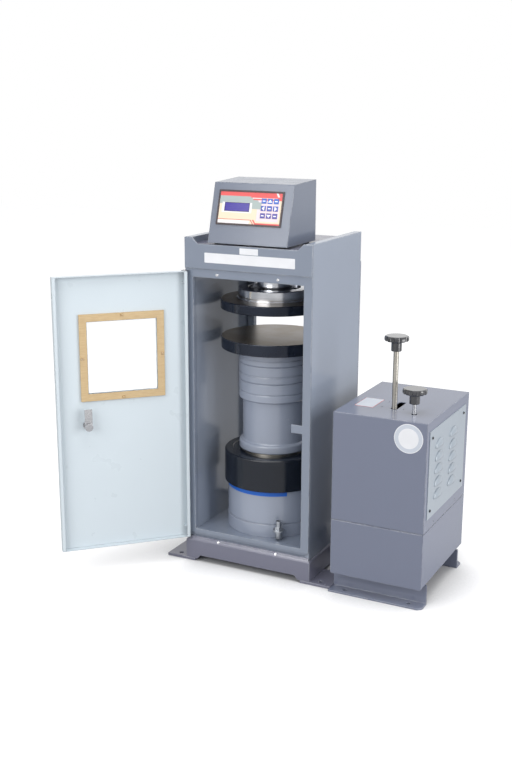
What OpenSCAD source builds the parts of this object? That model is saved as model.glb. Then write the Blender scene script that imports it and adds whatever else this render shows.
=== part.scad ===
// Compression tester for rock and concrete specimens: a welded load frame with an
// upright hydraulic ram, a hinged safety door, a digital indicator on top, and a
// free-standing hydraulic power pack beside it.
// Origin: on the floor under the load axis. X to the right, Y to the back, Z up.

/* [Load frame] */
// Width of the load frame over its side plates
frame_w = 400; // [390:1:440]
// Depth of the side plates, front to back
side_d = 344; // [340:1:380]
// Height of the side plates' top edge above the floor
frame_h = 989; // [985:1:1040]
// Thickness of each side plate
side_t = 22; // [16:1:26]
// Height of the bolster's underside above the floor
bolster_z = 24; // [22:1:30]
// Thickness of the bolster plate that carries the cylinder
bolster_t = 76; // [60:1:76]
// Thickness of the crosshead plate
crosshead_t = 86; // [70:1:86]
// Depth of the recess above the crosshead that holds the indicator
recess_d = 17.5; // [14:0.5:22]

/* [Base] */
// Thickness of the base skirt's sheet
skirt_t = 4; // [3:0.5:5]
// Gap between the skirt's top and the door frame above it
skirt_gap = 3; // [2:0.5:6]
// Set-back of the skirt's sloping top edge
skirt_bevel = 4.5; // [3:0.5:5]
// Rise of the front and back slope above the skirt's walls
skirt_rise = 13; // [8:1:13]
// Height of the relief cut under the skirt
relief_h = 20; // [16:1:22]
// Width of the skirt's corner legs
leg_w = 30; // [29:1:40]
// Sideways reach of the bolt-down pads beyond the skirt
pad_reach = 66; // [60:1:72]
// Length of the bolt-down pads, front to back
pad_l = 110; // [80:5:130]
// Thickness of the bolt-down pads
pad_t = 8; // [6:1:12]
// Radius of the floor bolt holes in the pads
pad_hole_r = 7; // [5:0.5:9]
// Distance of the floor bolts beyond the side plates
bolt_out = 35; // [28:1:50]
// Distance of the floor bolts behind the pads' front edges
bolt_in = 20; // [16:1:40]

/* [Front panels] */
// Thickness of the folded sheet of fascia and door frame
sheet_t = 2; // [1.5:0.5:2.5]
// Depth of the door frame's fold in front of the side plates
frame_fold = 5; // [4:0.5:7]
// Depth of the fascia's fold in front of the side plates
fascia_fold = 8; // [7.5:0.5:10]
// How far the door frame's jambs reach past the side plates into the opening
jamb_lip = 3; // [2.5:0.5:12]
// Height of the door frame's top strip
head_h = 25; // [20:1:30]
// Height of the door frame's sill
sill_h = 23; // [20:1:26]
// Width of each jamb round the opening in the back
rear_jamb_w = 50; // [30:1:70]
// Width of the strike tab for the door lock
tab_w = 34; // [30:1:36]
// Height of the strike tab
tab_h = 25; // [20:1:30]
// Height of the strike tab's lower edge above the sill's lower edge
tab_rise = 370; // [300:1:420]

/* [Door] */
// Overlap of the door's free edge on the jamb
door_overlap = 13.5; // [4:0.5:20]
// Gap between the closed door's top and the fascia
door_gap = 8; // [4:0.5:12]
// Thickness of the door's sheet
door_t = 1.5; // [1:0.25:2]
// Depth of the door's folded edges
door_d = 20; // [16:1:24]
// Width of the door edge's inward lip
door_lip = 10; // [6:1:12]
// Opening angle of the door as it stands at rest
door_angle = 134; // [90:0.5:150]
// Distance of the pivots from the closed door's edge
pivot_in = 5; // [4:0.25:6]
// Radius of the pivot pins
hinge_pin_r = 2.5; // [2:0.25:2.75]
// Length of the pivot pins inside the door
hinge_pin_l = 40; // [30:1:50]
// Width of the window opening in the door
window_w = 205; // [180:1:225]
// Height of the window opening in the door
window_h = 211; // [180:1:240]
// Height of the window opening above the door's lower edge
window_rise = 468; // [440:1:500]
// Distance of the window opening from the door's hinge side
window_in = 89; // [60:0.5:100]
// Thickness of the clear pane
pane_t = 3; // [2:0.5:4]
// Width of the frame strip round the window
window_rim = 21; // [16:1:26]
// Thickness of the window's retaining frame
window_rim_t = 3; // [2:0.5:4]
// Length of the lock's cam from its screw to its tip
cam_l = 52; // [46:1:58]

/* [Hydraulic cylinder] */
// Radius of the cylinder body
cyl_r = 138; // [130:1:142]
// Height of the gland ring's lower edge above the bolster
gland_drop = 144; // [130:1:150]
// Height of the gland ring
gland_h = 98; // [80:1:98]
// Radius of the gland ring
gland_r = 148; // [144:1:152]
// Radius of the ram
ram_r = 98; // [88:1:100]
// Working stroke of the ram
ram_stroke = 50; // [30:1:60]

/* [Column above the ram] */
// Radius of the pedestal's flange
flange_r = 104; // [100:1:108]
// Thickness of the pedestal's flange
flange_t = 25; // [20:1:30]
// Radius of the pedestal's shaft
pedestal_r = 93; // [80:1:96]
// Height of the pedestal's shaft above its flange
pedestal_h = 131; // [110:1:140]
// Radius of the spacer collars
collar_r = 105; // [98:1:112]
// Height of the bottom collar
collar_1_h = 57; // [40:1:60]
// Height of the middle collar
collar_2_h = 52; // [40:1:56]
// Height of the top collar
collar_3_h = 43; // [30:1:46]
// Radius of the lower platen
lower_platen_r = 158; // [140:1:162]
// Thickness of the lower platen
lower_platen_t = 35; // [30:1:40]

/* [Upper platen] */
// Daylight between the platens with the ram down
daylight = 84; // [66:1:90]
// Radius of the upper platen
upper_platen_r = 160; // [140:1:162]
// Thickness of the upper platen
upper_platen_t = 28; // [24:1:30]
// Radius of the spherical seat on the upper platen
ball_r = 58; // [56:1:60]
// Thickness of the seat's bronze liner
liner_t = 3; // [2:0.5:4]
// Outer radius of the seat ring
seat_ring_r = 108; // [100:1:112]
// Inner radius of the seat ring
seat_well_r = 77; // [76:1:84]
// Height of the seat ring
seat_ring_h = 33; // [26:1:34]
// Radius of the spindle that hangs from the crosshead
spindle_r = 52; // [46:1:54]

/* [Indicator] */
// Width of the indicator's case
case_w = 248; // [230:1:270]
// Depth of the indicator's case along its base
case_d = 189; // [170:1:200]
// Height of the case at its back
case_h = 172.5; // [160:0.5:190]
// Height of the case at the top of its sloping face
case_front_h = 166.5; // [150:0.5:172]
// Set-back of the top of the sloping face
face_back = 46; // [30:1:60]
// Wall of the indicator's case
case_t = 1.5; // [1.2:0.1:2.5]
// Height of the indicator's rubber feet
rubber_h = 5; // [3:0.5:8]
// Width of the bezel round the membrane panel
bezel_w = 202.5; // [196:0.5:206]
// Height of the bezel round the membrane panel
bezel_h = 98.5; // [96:0.5:104]
// Width of the bezel's black border
bezel_rim = 5; // [3:0.5:6]
// Side of one key
key_w = 15; // [12:0.5:16]
// Height of one key
key_h = 14; // [12:0.5:16]
// Sideways pitch of the keys
key_px = 18.8; // [18:0.1:20]
// Upright pitch of the keys
key_py = 20.4; // [18:0.1:21]
// Travel of a key
key_travel = 0.5; // [0.3:0.1:0.8]
// Width of the display window
lcd_w = 79; // [70:0.5:90]
// Height of the display window
lcd_h = 25.5; // [20:0.5:30]

/* [Power pack] */
// Width of the power pack's tank and cover
pack_w = 271; // [260:1:290]
// Depth of the tank and cover
pack_d = 376; // [360:1:390]
// Clearance under the tank
pack_clear = 59; // [50:1:70]
// Height of the tank
tank_h = 165; // [150:1:190]
// Height of the cover above the tank
cover_h = 314; // [300:1:340]
// Radius of the tank's folded lower edges
tank_bend_r = 6; // [4:1:12]
// Wall of the tank
tank_t = 4; // [3:0.5:5]
// Wall of the cover
cover_t = 2; // [1.5:0.5:3]
// Distance of a foot's web from the end of the tank
foot_inset = 47; // [40:1:60]
// Thickness of the angle feet
foot_t = 5; // [4:0.5:6]
// Radius of the bolt holes in the pack's feet
foot_hole_r = 6; // [4.5:0.5:7]
// Distance between the two bolts of one foot
foot_bolt_x = 190; // [160:1:210]
// Width of the louvred side panel, front to back
louvre_panel_w = 325; // [310:1:340]
// Height of the louvred side panel
louvre_panel_h = 252; // [240:1:260]
// Number of louvres in one column
louvre_n = 5; // [3:1:5]
// Upright pitch of the louvres
louvre_pitch = 36.5; // [30:0.5:40]
// Length of one louvre
louvre_l = 96; // [70:1:100]
// Height and reach of one louvre's hood
louvre_r = 7; // [5:0.5:8]

/* [Controls on the pack] */
// Radius of the control lever's rod
lever_r = 7.5; // [6:0.5:8]
// Height of the lever's pivot above the tank lid
lever_pivot_h = 110; // [100:1:120]
// Height of the lever's knob above the cover
lever_reach = 164; // [120:1:180]
// Swing of the control lever
lever_swing = 18; // [10:1:20]
// Radius of the release valve's stem
stem_r = 5; // [4:0.5:6]
// Height of the release valve's knob above the cover
stem_reach = 30; // [24:1:40]
// Radius of the control knobs
knob_r = 34; // [28:1:36]
// Height of the control knobs
knob_h = 43; // [40:1:48]
// Number of grip notches round a knob
knob_lobes = 10; // [6:1:12]

/* [Hidden] */
$fn = 96;

// Running clearance of a shaft in its bore, and gap between parts that only pass
run_gap = 0.05;
pass_gap = 0.3;
cut = 1;

// Heights along the load axis
floor_z = bolster_z + bolster_t;
gland_z = floor_z + gland_drop;
gland_top = gland_z + gland_h;
cyl_floor_z = floor_z + 42;
ram_top = gland_top + 5;
pedestal_top = ram_top + flange_t + pedestal_h;
collar_1_top = pedestal_top + collar_1_h;
collar_2_top = collar_1_top + collar_2_h;
collar_3_top = collar_2_top + collar_3_h;
lower_face = collar_3_top + lower_platen_t;
upper_face = lower_face + daylight;
platen_top = upper_face + upper_platen_t;
crosshead_top = frame_h - recess_d;
crosshead_under = crosshead_top - crosshead_t;

// Planes of the frame
inner_x = frame_w / 2 - side_t;
side_y = side_d / 2;
skirt_x = frame_w / 2 + skirt_t + 2;
skirt_y = side_y + frame_fold + skirt_t;
pad_x = skirt_x + pad_reach;
frame_front = -side_y - frame_fold;
opening_x = inner_x - jamb_lip;
opening_z = floor_z + 5;
opening_top = crosshead_under - 10;
sill_z = opening_z - sill_h;
head_z = opening_top + head_h;
skirt_h = sill_z - skirt_gap - skirt_rise;
tab_z = sill_z + tab_rise;
screw_x = 96;

// Colours of the finishes
paint = [0.47, 0.50, 0.57];
base_paint = [0.42, 0.42, 0.49];
door_paint = [0.84, 0.88, 0.91];
black_steel = [0.13, 0.14, 0.17];
bright = [0.80, 0.81, 0.84];

module box(x0, x1, y0, y1, z0, z1) {
    translate([x0, y0, z0]) cube([x1 - x0, y1 - y0, z1 - z0]);
}

// A flat plate in the XZ plane, from y0 back to y1
module front_plate(y0, y1) {
    translate([0, y1, 0]) rotate([90, 0, 0]) linear_extrude(y1 - y0) children();
}

module tube(r_out, r_in, z0, z1) {
    translate([0, 0, z0]) difference() {
        cylinder(r = r_out, h = z1 - z0);
        translate([0, 0, -cut]) cylinder(r = r_in, h = z1 - z0 + 2 * cut);
    }
}

// Load frame
module side_plate(x0) {
    box(x0, x0 + side_t, -side_y, side_y, pad_t, frame_h);
}

module left_side_plate() {
    color(paint) side_plate(-frame_w / 2);
}

module right_side_plate() {
    color(paint) side_plate(inner_x);
}

module base_bolster() {
    color(paint) box(-inner_x, inner_x, -side_y, side_y, bolster_z, floor_z);
}

shank_r = spindle_r - 8;

module crosshead() {
    color(paint) difference() {
        box(-inner_x, inner_x, -side_y, side_y, crosshead_under, crosshead_top);
        translate([0, 0, crosshead_under - cut]) cylinder(r = shank_r + 0.2, h = crosshead_t + 2 * cut);
    }
}

// Section of the skirt: an upright sheet whose top leans in and meets the frame
module skirt_section(gap, rise) {
    top = skirt_h + rise;
    polygon([[0, 0], [skirt_t, 0], [skirt_t, top - skirt_t], [gap, top - skirt_t],
             [gap, top], [skirt_bevel, top], [0, skirt_h]]);
}

// One side of the skirt, cut to a mitre at both corners; half is half its length
module skirt_side(half, reach, gap, rise) {
    intersection() {
        translate([-half, -reach, 0]) rotate([90, 0, 90]) linear_extrude(2 * half) skirt_section(gap, rise);
        linear_extrude(2 * skirt_h) polygon([[0, half - reach], [-half, -reach], [half, -reach]]);
    }
}

relief_slope = 18;

// Relief under the front and back of the skirt, which leaves a leg at each corner
module relief_outline() {
    foot_x = skirt_x - leg_w;
    polygon([[-foot_x, -cut], [foot_x, -cut], [foot_x - relief_slope, relief_h],
             [-foot_x + relief_slope, relief_h]]);
}

// Corners clipped off the front and back walls above the side walls
module clipped_corners() {
    clip = skirt_bevel;
    for (side = [0, 1]) mirror([side, 0, 0])
        polygon([[skirt_x + cut, skirt_h - cut], [skirt_x + cut, skirt_h + skirt_rise + cut],
                 [skirt_x - clip, skirt_h + skirt_rise + cut], [skirt_x - clip, skirt_h + clip]]);
}

module base_skirt() {
    side_gap = skirt_x - frame_w / 2;
    front_gap = skirt_y - side_y;
    color(base_paint) difference() {
        union() {
            for (turn = [0, 180]) rotate([0, 0, turn]) skirt_side(skirt_x, skirt_y, front_gap, skirt_rise);
            for (turn = [90, -90]) rotate([0, 0, turn]) skirt_side(skirt_y, skirt_x, side_gap, skirt_bevel);
        }
        front_plate(-skirt_y - cut, skirt_y + cut) relief_outline();
        for (end = [0, 1]) mirror([0, end, 0]) front_plate(-skirt_y - cut, -side_y) clipped_corners();
        box(-skirt_x - cut, skirt_x + cut, -skirt_y - cut, skirt_y + cut, -cut, pad_t);
        base_screw_places() screw_hole(screw_shank_l + 0.5);
    }
}

// Four pads under the legs and side plates, each with one floor bolt hole
module foot_pads() {
    color(base_paint) for (side = [0, 1], end = [0, 1]) mirror([side, 0, 0]) mirror([0, end, 0])
        difference() {
            box(skirt_x - leg_w, pad_x, skirt_y - pad_l, skirt_y, 0, pad_t);
            translate([frame_w / 2 + bolt_out, skirt_y - bolt_in, -cut])
                cylinder(r = pad_hole_r, h = pad_t + 2 * cut);
        }
}

// Fascia over the crosshead, with a notch that leaves the indicator's base clear
notch_shoulder = 26;
notch_slope = 17;
notch_half = frame_w / 2 - notch_shoulder - notch_slope;

module fascia_outline() {
    half = frame_w / 2;
    notch_z = frame_h - recess_d;
    polygon([[-half, head_z], [half, head_z], [half, frame_h], [notch_half + notch_slope, frame_h],
             [notch_half, notch_z], [-notch_half, notch_z], [-notch_half - notch_slope, frame_h],
             [-half, frame_h]]);
}

module front_fascia() {
    front = -side_y - fascia_fold;
    half = frame_w / 2;
    color(paint) {
        front_plate(front, front + sheet_t) fascia_outline();
        box(-half, half, front + sheet_t, -side_y, head_z, head_z + sheet_t);
        for (side = [0, 1]) mirror([side, 0, 0])
            box(half - sheet_t, half, front + sheet_t, -side_y, head_z + sheet_t, frame_h);
    }
}

// A folded sheet frame on the front or back of the side plates: outer edges
// folded back to the plates, inner edges folded in round the opening
module folded_frame(half_opening, low, high, fold_in) {
    half = frame_w / 2;
    corner = 14;
    outline = [[-half, head_z], [-half, sill_z + corner], [-half + corner, sill_z],
               [half - corner, sill_z], [half, sill_z + corner], [half, head_z]];
    opening = [[-half_opening, low], [half_opening, low], [half_opening, high], [-half_opening, high]];
    difference() {
        front_plate(frame_front, -side_y) polygon(outline);
        front_plate(frame_front - cut, -side_y + cut) polygon(opening);
        box(-half + sheet_t, -half_opening - sheet_t, frame_front + sheet_t, -side_y + cut,
            sill_z + corner, head_z - sheet_t);
        mirror([1, 0, 0]) box(-half + sheet_t, -half_opening - sheet_t, frame_front + sheet_t, -side_y + cut,
            sill_z + corner, head_z - sheet_t);
        sill_bevel();
    }
    difference() {
        box(-half_opening - sheet_t, half_opening + sheet_t, -side_y, -side_y + fold_in,
            low - sheet_t, high + sheet_t);
        box(-half_opening, half_opening, -side_y - cut, -side_y + fold_in + cut, low, high);
    }
}

// The sill's lower edge slopes back to the plates
module sill_bevel() {
    rise = 12;
    translate([-frame_w, 0, 0]) rotate([90, 0, 90]) linear_extrude(2 * frame_w)
        polygon([[frame_front - cut, sill_z - cut], [-side_y - 1, sill_z - cut],
                 [-side_y - 1, sill_z], [frame_front, sill_z + rise], [frame_front - cut, sill_z + rise]]);
}

module door_frame() {
    color(paint) difference() {
        union() {
            folded_frame(opening_x, opening_z, opening_top, 12);
            front_plate(frame_front, frame_front + sheet_t) translate([opening_x - tab_w, tab_z]) square([tab_w + cut, tab_h]);
        }
        head_screw_places() screw_hole(screw_shank_l + 0.2);
    }
}

module rear_frame() {
    color(paint) mirror([0, 1, 0]) folded_frame(frame_w / 2 - rear_jamb_w, opening_z, opening_top, 12);
}

// Pan-head screw whose head sits on the plane y = 0 and faces the front
screw_head_r = 4.5;
screw_shank_r = 2;
screw_shank_l = 4.5;

module screw() {
    rotate([90, 0, 0]) difference() {
        union() {
            cylinder(r1 = screw_head_r, r2 = screw_head_r - 1.2, h = 2.4);
            translate([0, 0, -screw_shank_l]) cylinder(r = screw_shank_r, h = screw_shank_l + 1);
        }
        translate([-2.6, -0.5, 1.2]) cube([5.2, 1, 2]);
        translate([-0.5, -2.6, 1.2]) cube([1, 5.2, 2]);
    }
}

module screw_hole(depth) {
    rotate([-90, 0, 0]) translate([0, 0, -cut]) cylinder(r = screw_shank_r + 0.1, h = depth + cut);
}

// Places of the head screws in the door frame and of the screws in the skirt's bevel
base_screw_rise = skirt_rise / 2 + 1;

module head_screw_places() {
    for (side = [-1, 1]) translate([side * screw_x, frame_front, opening_top + 0.4 * head_h]) children();
}

module base_screw_places() {
    for (side = [-1, 1])
        translate([side * screw_x, -skirt_y + skirt_bevel * base_screw_rise / skirt_rise, skirt_h + base_screw_rise])
            rotate([-atan(skirt_bevel / skirt_rise), 0, 0]) children();
}

// Places of the four screws in the louvred panel
panel_screw_in = 22;

module panel_screw_places() {
    for (y = [panel_y0 + panel_screw_in, panel_y1 - panel_screw_in],
         z = [panel_z0 + panel_screw_in, panel_z1 - panel_screw_in])
        translate([pack_x1 + panel_t, y, z]) rotate([0, 0, 90]) children();
}

module casing_screws() {
    color(bright) {
        head_screw_places() screw();
        base_screw_places() screw();
        panel_screw_places() screw();
    }
}

// Pivot hinges: pins on two brackets of the frame stand in the ends of the door's tray
pivot_drop = 13;
hinge_x = -frame_w / 2 + pivot_in;
hinge_y = frame_front - pivot_drop;
rim_y = frame_front - 1.5;
door_skin_y = rim_y - door_d;
door_top = head_z - door_gap;
bracket_t = 1.8;
bracket_gap = 0.8;

module hinge_fixed_leaves() {
    top = door_top + bracket_gap;
    low = sill_z - bracket_gap - bracket_t;
    color(bright) {
        box(hinge_x - 8, hinge_x + 9, hinge_y - 6, frame_front, top, top + bracket_t);
        box(hinge_x - 8, hinge_x + 9, hinge_y - 6, -side_y, low, low + bracket_t);
        for (z = [low, top + bracket_t - hinge_pin_l])
            translate([hinge_x, hinge_y, z]) cylinder(r = hinge_pin_r, h = hinge_pin_l, $fn = 48);
    }
}

module door_pose() {
    translate([hinge_x, hinge_y, 0]) rotate([0, 0, -door_angle]) translate([-hinge_x, -hinge_y, 0]) children();
}

module pivot_hole(z0, z1) {
    translate([hinge_x, hinge_y, z0]) cylinder(r = hinge_pin_r + run_gap, h = z1 - z0, $fn = 48);
}

// Plates inside the tray that steady the inner ends of the pins
module door_hinge_leaves() {
    reach = hinge_pin_l - 6;
    color(door_paint) door_pose() for (z = [sill_z + reach - 2, door_top - reach]) difference() {
        box(door_x0 + door_t, door_x0 + door_t + 13, skin_in, skin_in + 14, z, z + 2);
        pivot_hole(z - cut, z + 2 + cut);
    }
}

// Door: a folded tray, drawn closed and turned open about its hinges
door_x0 = -frame_w / 2;
door_x1 = opening_x + door_overlap;
window_x0 = door_x0 + window_in;
window_z0 = sill_z + window_rise;
skin_in = door_skin_y + door_t;
cam_lap = 11;
lock_drop = 6;
lock_x = opening_x - tab_w - cam_l + cam_lap;
lock_z = tab_z + tab_h / 2 - lock_drop;
lock_r = 9.5;

module door_panel() {
    color(door_paint) door_pose() difference() {
        union() {
            box(door_x0, door_x1, door_skin_y, skin_in, sill_z, door_top);
            for (x = [door_x0, door_x1 - door_t]) box(x, x + door_t, skin_in, rim_y, sill_z, door_top);
            for (z = [sill_z, door_top - door_t]) box(door_x0, door_x1, skin_in, rim_y, z, z + door_t);
            for (x = [door_x0, door_x1 - door_lip])
                box(x, x + door_lip, rim_y - door_t, rim_y, sill_z, door_top);
        }
        front_plate(door_skin_y - cut, skin_in + cut)
            translate([window_x0 + 2, window_z0 + 2]) square([window_w - 4, window_h - 4]);
        translate([lock_x, door_skin_y - cut, lock_z]) rotate([-90, 0, 0])
            cylinder(r = lock_r + 0.1, h = door_t + 2 * cut);
        window_screw_places() screw_hole(window_frame_t + door_t + cut);
        pivot_hole(sill_z - cut, sill_z + door_t + cut);
        pivot_hole(door_top - door_t - cut, door_top + cut);
    }
}

// Retaining frame over the pane, rebated so that it stands on the door's sheet
window_frame_t = window_rim_t + pane_t;
pane_edge = 8;

module window_ring(margin, y0, y1) {
    front_plate(y0, y1) translate([window_x0 - margin, window_z0 - margin])
        square([window_w + 2 * margin, window_h + 2 * margin]);
}

module window_frame() {
    color([0.80, 0.66, 0.44]) door_pose() difference() {
        window_ring(window_rim, skin_in, skin_in + window_frame_t);
        window_ring(0, skin_in - cut, skin_in + window_frame_t + cut);
        window_ring(pane_edge + 0.1, skin_in - cut, skin_in + pane_t);
        window_screw_places() screw_hole(window_frame_t + cut);
    }
}

module window_pane() {
    color([0.85, 0.93, 0.97]) door_pose() window_ring(pane_edge, skin_in, skin_in + pane_t);
}

// One screw in the middle of each side of the window frame, heads to the inside
module window_screw_places() {
    mid_x = window_x0 + window_w / 2;
    mid_z = window_z0 + window_h / 2;
    reach_x = window_w / 2 + window_rim - 6;
    reach_z = window_h / 2 + window_rim - 6;
    for (p = [[mid_x - reach_x, mid_z], [mid_x + reach_x, mid_z], [mid_x, mid_z - reach_z], [mid_x, mid_z + reach_z]])
        translate([p[0], skin_in + window_frame_t, p[1]]) rotate([0, 0, 180]) children();
}

module window_screws() {
    color(bright) door_pose() window_screw_places() screw();
}

// Cam lock: a flanged barrel through the door's sheet with a round nut inside
cam_t = 2.5;
cam_y = frame_front + sheet_t + 1;

module lock_body() {
    color(bright) door_pose() translate([lock_x, door_skin_y, lock_z]) rotate([-90, 0, 0]) difference() {
        union() {
            translate([0, 0, -3]) cylinder(r = 13, h = 3);
            cylinder(r = lock_r, h = cam_y - door_skin_y);
            translate([0, 0, door_t]) cylinder(r = 13, h = 6);
        }
        translate([-1, -4, -4]) cube([2, 8, 3]);
    }
}

// Plate on the barrel's inner end, held by a round nut
module lock_cam() {
    half = 11;
    color(bright) door_pose() translate([lock_x, cam_y, lock_z]) {
        rotate([90, 0, 0]) translate([0, 0, -cam_t]) linear_extrude(cam_t) {
            circle(r = half);
            translate([-half, 0]) square([2 * half, cam_l]);
        }
        translate([0, cam_t, 0]) rotate([-90, 0, 0]) cylinder(r = half + 0.5, h = 6);
    }
}

// Hydraulic cylinder, its gland ring and the ram
head_r = ram_r + 9;
head_h_ram = 40;
bore_r = head_r + 0.6;
cyl_top = gland_z + gland_h - 24;

module cylinder_body() {
    color(paint) translate([0, 0, floor_z]) difference() {
        union() {
            cylinder(r = cyl_r + 1.5, h = cyl_floor_z - floor_z - 3);
            cylinder(r = cyl_r - 1.5, h = cyl_floor_z - floor_z);
            translate([0, 0, cyl_floor_z - floor_z]) cylinder(r = cyl_r, h = cyl_top - cyl_floor_z);
        }
        translate([0, 0, cyl_floor_z - floor_z]) cylinder(r = bore_r, h = cyl_top);
        port_place() translate([0, 0, -12]) cylinder(r = port_bore_r, h = 30);
    }
}

// Cap screwed over the cylinder's top; its bore guides the ram
module gland_ring() {
    lip = 3;
    color(black_steel) translate([0, 0, gland_z]) rotate_extrude()
        polygon([[cyl_r + 0.1, 0], [gland_r, 0], [gland_r, gland_h - lip], [gland_r - lip, gland_h],
                 [flange_r + 22, gland_h], [flange_r + 19, gland_h - 2], [ram_r + run_gap, gland_h - 2],
                 [ram_r + run_gap, gland_h - 23.9], [cyl_r + 0.1, gland_h - 23.9]]);
}

module ram() {
    groove = 4;
    color(bright) translate([0, 0, cyl_floor_z + pass_gap]) rotate_extrude()
        polygon([[0, 0], [head_r, 0], [head_r, 14], [head_r - groove, 14], [head_r - groove, 24],
                 [head_r, 24], [head_r, head_h_ram], [ram_r, head_h_ram],
                 [ram_r, ram_top - cyl_floor_z - pass_gap], [0, ram_top - cyl_floor_z - pass_gap]]);
}

module piston_seal() {
    color([0.1, 0.1, 0.1]) translate([0, 0, cyl_floor_z + pass_gap])
        tube(bore_r - run_gap, head_r - 4, 14.1, 23.9);
}

// Fittings that a hydraulic hose screws on: an elbow on the cylinder, an adapter on the pack
port_angle = -58;
port_z = floor_z + 18;
port_bore_r = 4;
elbow_r = 11;
elbow_out = 20;
nipple_r = 8;
nipple_h = 42;
hose_mouth_r = 5.5;

module port_place() {
    rotate([0, 0, port_angle]) translate([cyl_r - 3, 0, port_z - floor_z]) rotate([0, 90, 0]) children();
}

module port_adapter(start) {
    difference() {
        union() {
            translate([0, 0, start]) cylinder(r = 15, h = 12 - start);
            translate([0, 0, 12]) cylinder(r = 21, h = 14, $fn = 6);
            translate([0, 0, 26]) cylinder(r = 19, h = 5);
            translate([0, 0, 31]) cylinder(r = 13, h = 14);
        }
        translate([0, 0, 25]) cylinder(r = 8, h = 30);
        translate([0, 0, start - cut]) cylinder(r = port_bore_r, h = 60);
    }
}

// Stub out of the cylinder, then up: body, round flange, hexagon and nipple
module port_elbow() {
    difference() {
        union() {
            translate([2, 0, 0]) rotate([0, 90, 0]) cylinder(r = elbow_r - 2, h = elbow_out - 2);
            translate([elbow_out, 0, -elbow_r - 1]) cylinder(r = elbow_r, h = elbow_r + 12);
            translate([elbow_out, 0, 10]) cylinder(r = 17, h = 5);
            translate([elbow_out, 0, 14]) cylinder(r = 12, h = 10, $fn = 6);
            translate([elbow_out, 0, 23]) cylinder(r = nipple_r, h = nipple_h - 23);
        }
        translate([1, 0, 0]) rotate([0, 90, 0]) cylinder(r = port_bore_r - 0.5, h = elbow_out - 1);
        translate([elbow_out, 0, -5]) cylinder(r = port_bore_r, h = nipple_h);
        translate([elbow_out, 0, nipple_h - 12]) cylinder(r = hose_mouth_r, h = 12 + cut);
    }
}

module hose_ports() {
    color(bright) {
        rotate([0, 0, port_angle]) translate([cyl_r, 0, port_z]) port_elbow();
        translate([outlet_x, pack_y1, outlet_z]) rotate([-90, 0, 0]) port_adapter(0);
    }
}

// Pedestal, collars and lower platen, each centred on a spigot of the one below
spigot_r = 20;
spigot_h = 6;

module pedestal() {
    round_r = 6;
    top = flange_t + pedestal_h;
    rim = [for (a = [0 : 15 : 90]) [flange_r - round_r + round_r * cos(a), flange_t - round_r + round_r * sin(a)]];
    color(paint) translate([0, 0, ram_top]) difference() {
        rotate_extrude() polygon(concat([[0, 0], [flange_r - 2, 0], [flange_r, 2]], rim,
            [[pedestal_r + 3, flange_t], [pedestal_r, flange_t + 3], [pedestal_r, top], [0, top]]));
        translate([0, 0, top - spigot_h - 0.5]) cylinder(r = spigot_r + 0.2, h = 10);
    }
}

// A collar with a step and a bevelled groove above its lower edge
module collar(z, height) {
    foot = 4;
    groove_z = height * 0.4;
    color(paint) translate([0, 0, z]) difference() {
        union() {
            rotate_extrude() polygon([[0, 0], [collar_r - 3, 0], [collar_r, 3], [collar_r, groove_z - 2],
                [collar_r - 2, groove_z], [collar_r - 2, groove_z + 2], [collar_r, groove_z + 4],
                [collar_r, height - 2], [collar_r - 2, height], [0, height]]);
            translate([0, 0, -spigot_h]) cylinder(r = spigot_r, h = spigot_h + foot);
        }
        translate([0, 0, height - spigot_h - 0.5]) cylinder(r = spigot_r + 0.2, h = 10);
    }
}

module bottom_collar() { collar(pedestal_top, collar_1_h); }

module middle_collar() { collar(collar_1_top, collar_2_h); }

module top_collar() { collar(collar_2_top, collar_3_h); }

module lower_platen() {
    color(black_steel) translate([0, 0, collar_3_top]) {
        rotate_extrude() polygon([[0, 0], [lower_platen_r - 2, 0], [lower_platen_r, 2],
            [lower_platen_r, lower_platen_t - 1.5], [lower_platen_r - 1.5, lower_platen_t], [0, lower_platen_t]]);
        translate([0, 0, -spigot_h]) cylinder(r = spigot_r, h = spigot_h + 1);
    }
}

// Upper platen on a spherical seat whose centre lies in its working face
liner_in = ball_r + pass_gap;
liner_out = liner_in + liner_t;
cup_r = liner_out + pass_gap;
block_r = cup_r + 8;
block_z = platen_top + 6;
block_h = 14;

module upper_platen() {
    color(black_steel) {
        translate([0, 0, upper_face]) rotate_extrude()
            polygon([[0, 0], [upper_platen_r - 1.5, 0], [upper_platen_r, 1.5], [upper_platen_r, upper_platen_t - 2],
                     [upper_platen_r - 2, upper_platen_t], [0, upper_platen_t]]);
        intersection() {
            translate([0, 0, upper_face]) sphere(r = ball_r);
            translate([0, 0, platen_top - 1]) cylinder(r = ball_r, h = ball_r);
        }
    }
}

module seat_liner() {
    color([0.70, 0.52, 0.30]) intersection() {
        translate([0, 0, upper_face]) difference() {
            sphere(r = liner_out);
            sphere(r = liner_in);
        }
        translate([0, 0, block_z + 1]) cylinder(r = liner_out, h = liner_out);
    }
}

module seat_ring() {
    foot_h = 4;
    color(bright) translate([0, 0, platen_top]) rotate_extrude()
        polygon([[seat_well_r, 0], [seat_ring_r + 4, 0], [seat_ring_r + 4, foot_h], [seat_ring_r, foot_h],
                 [seat_ring_r, seat_ring_h - 2], [seat_ring_r - 2, seat_ring_h], [seat_well_r + 1, seat_ring_h],
                 [seat_well_r, seat_ring_h - 1]]);
}

// Spindle with its seat block below the crosshead and its shank through it
module spindle() {
    color(bright) difference() {
        union() {
            translate([0, 0, block_z]) cylinder(r = block_r, h = block_h);
            translate([0, 0, block_z]) cylinder(r = spindle_r, h = crosshead_under - block_z);
            translate([0, 0, crosshead_under]) cylinder(r = shank_r, h = crosshead_t - 6);
        }
        translate([0, 0, upper_face]) sphere(r = cup_r);
    }
}

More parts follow.
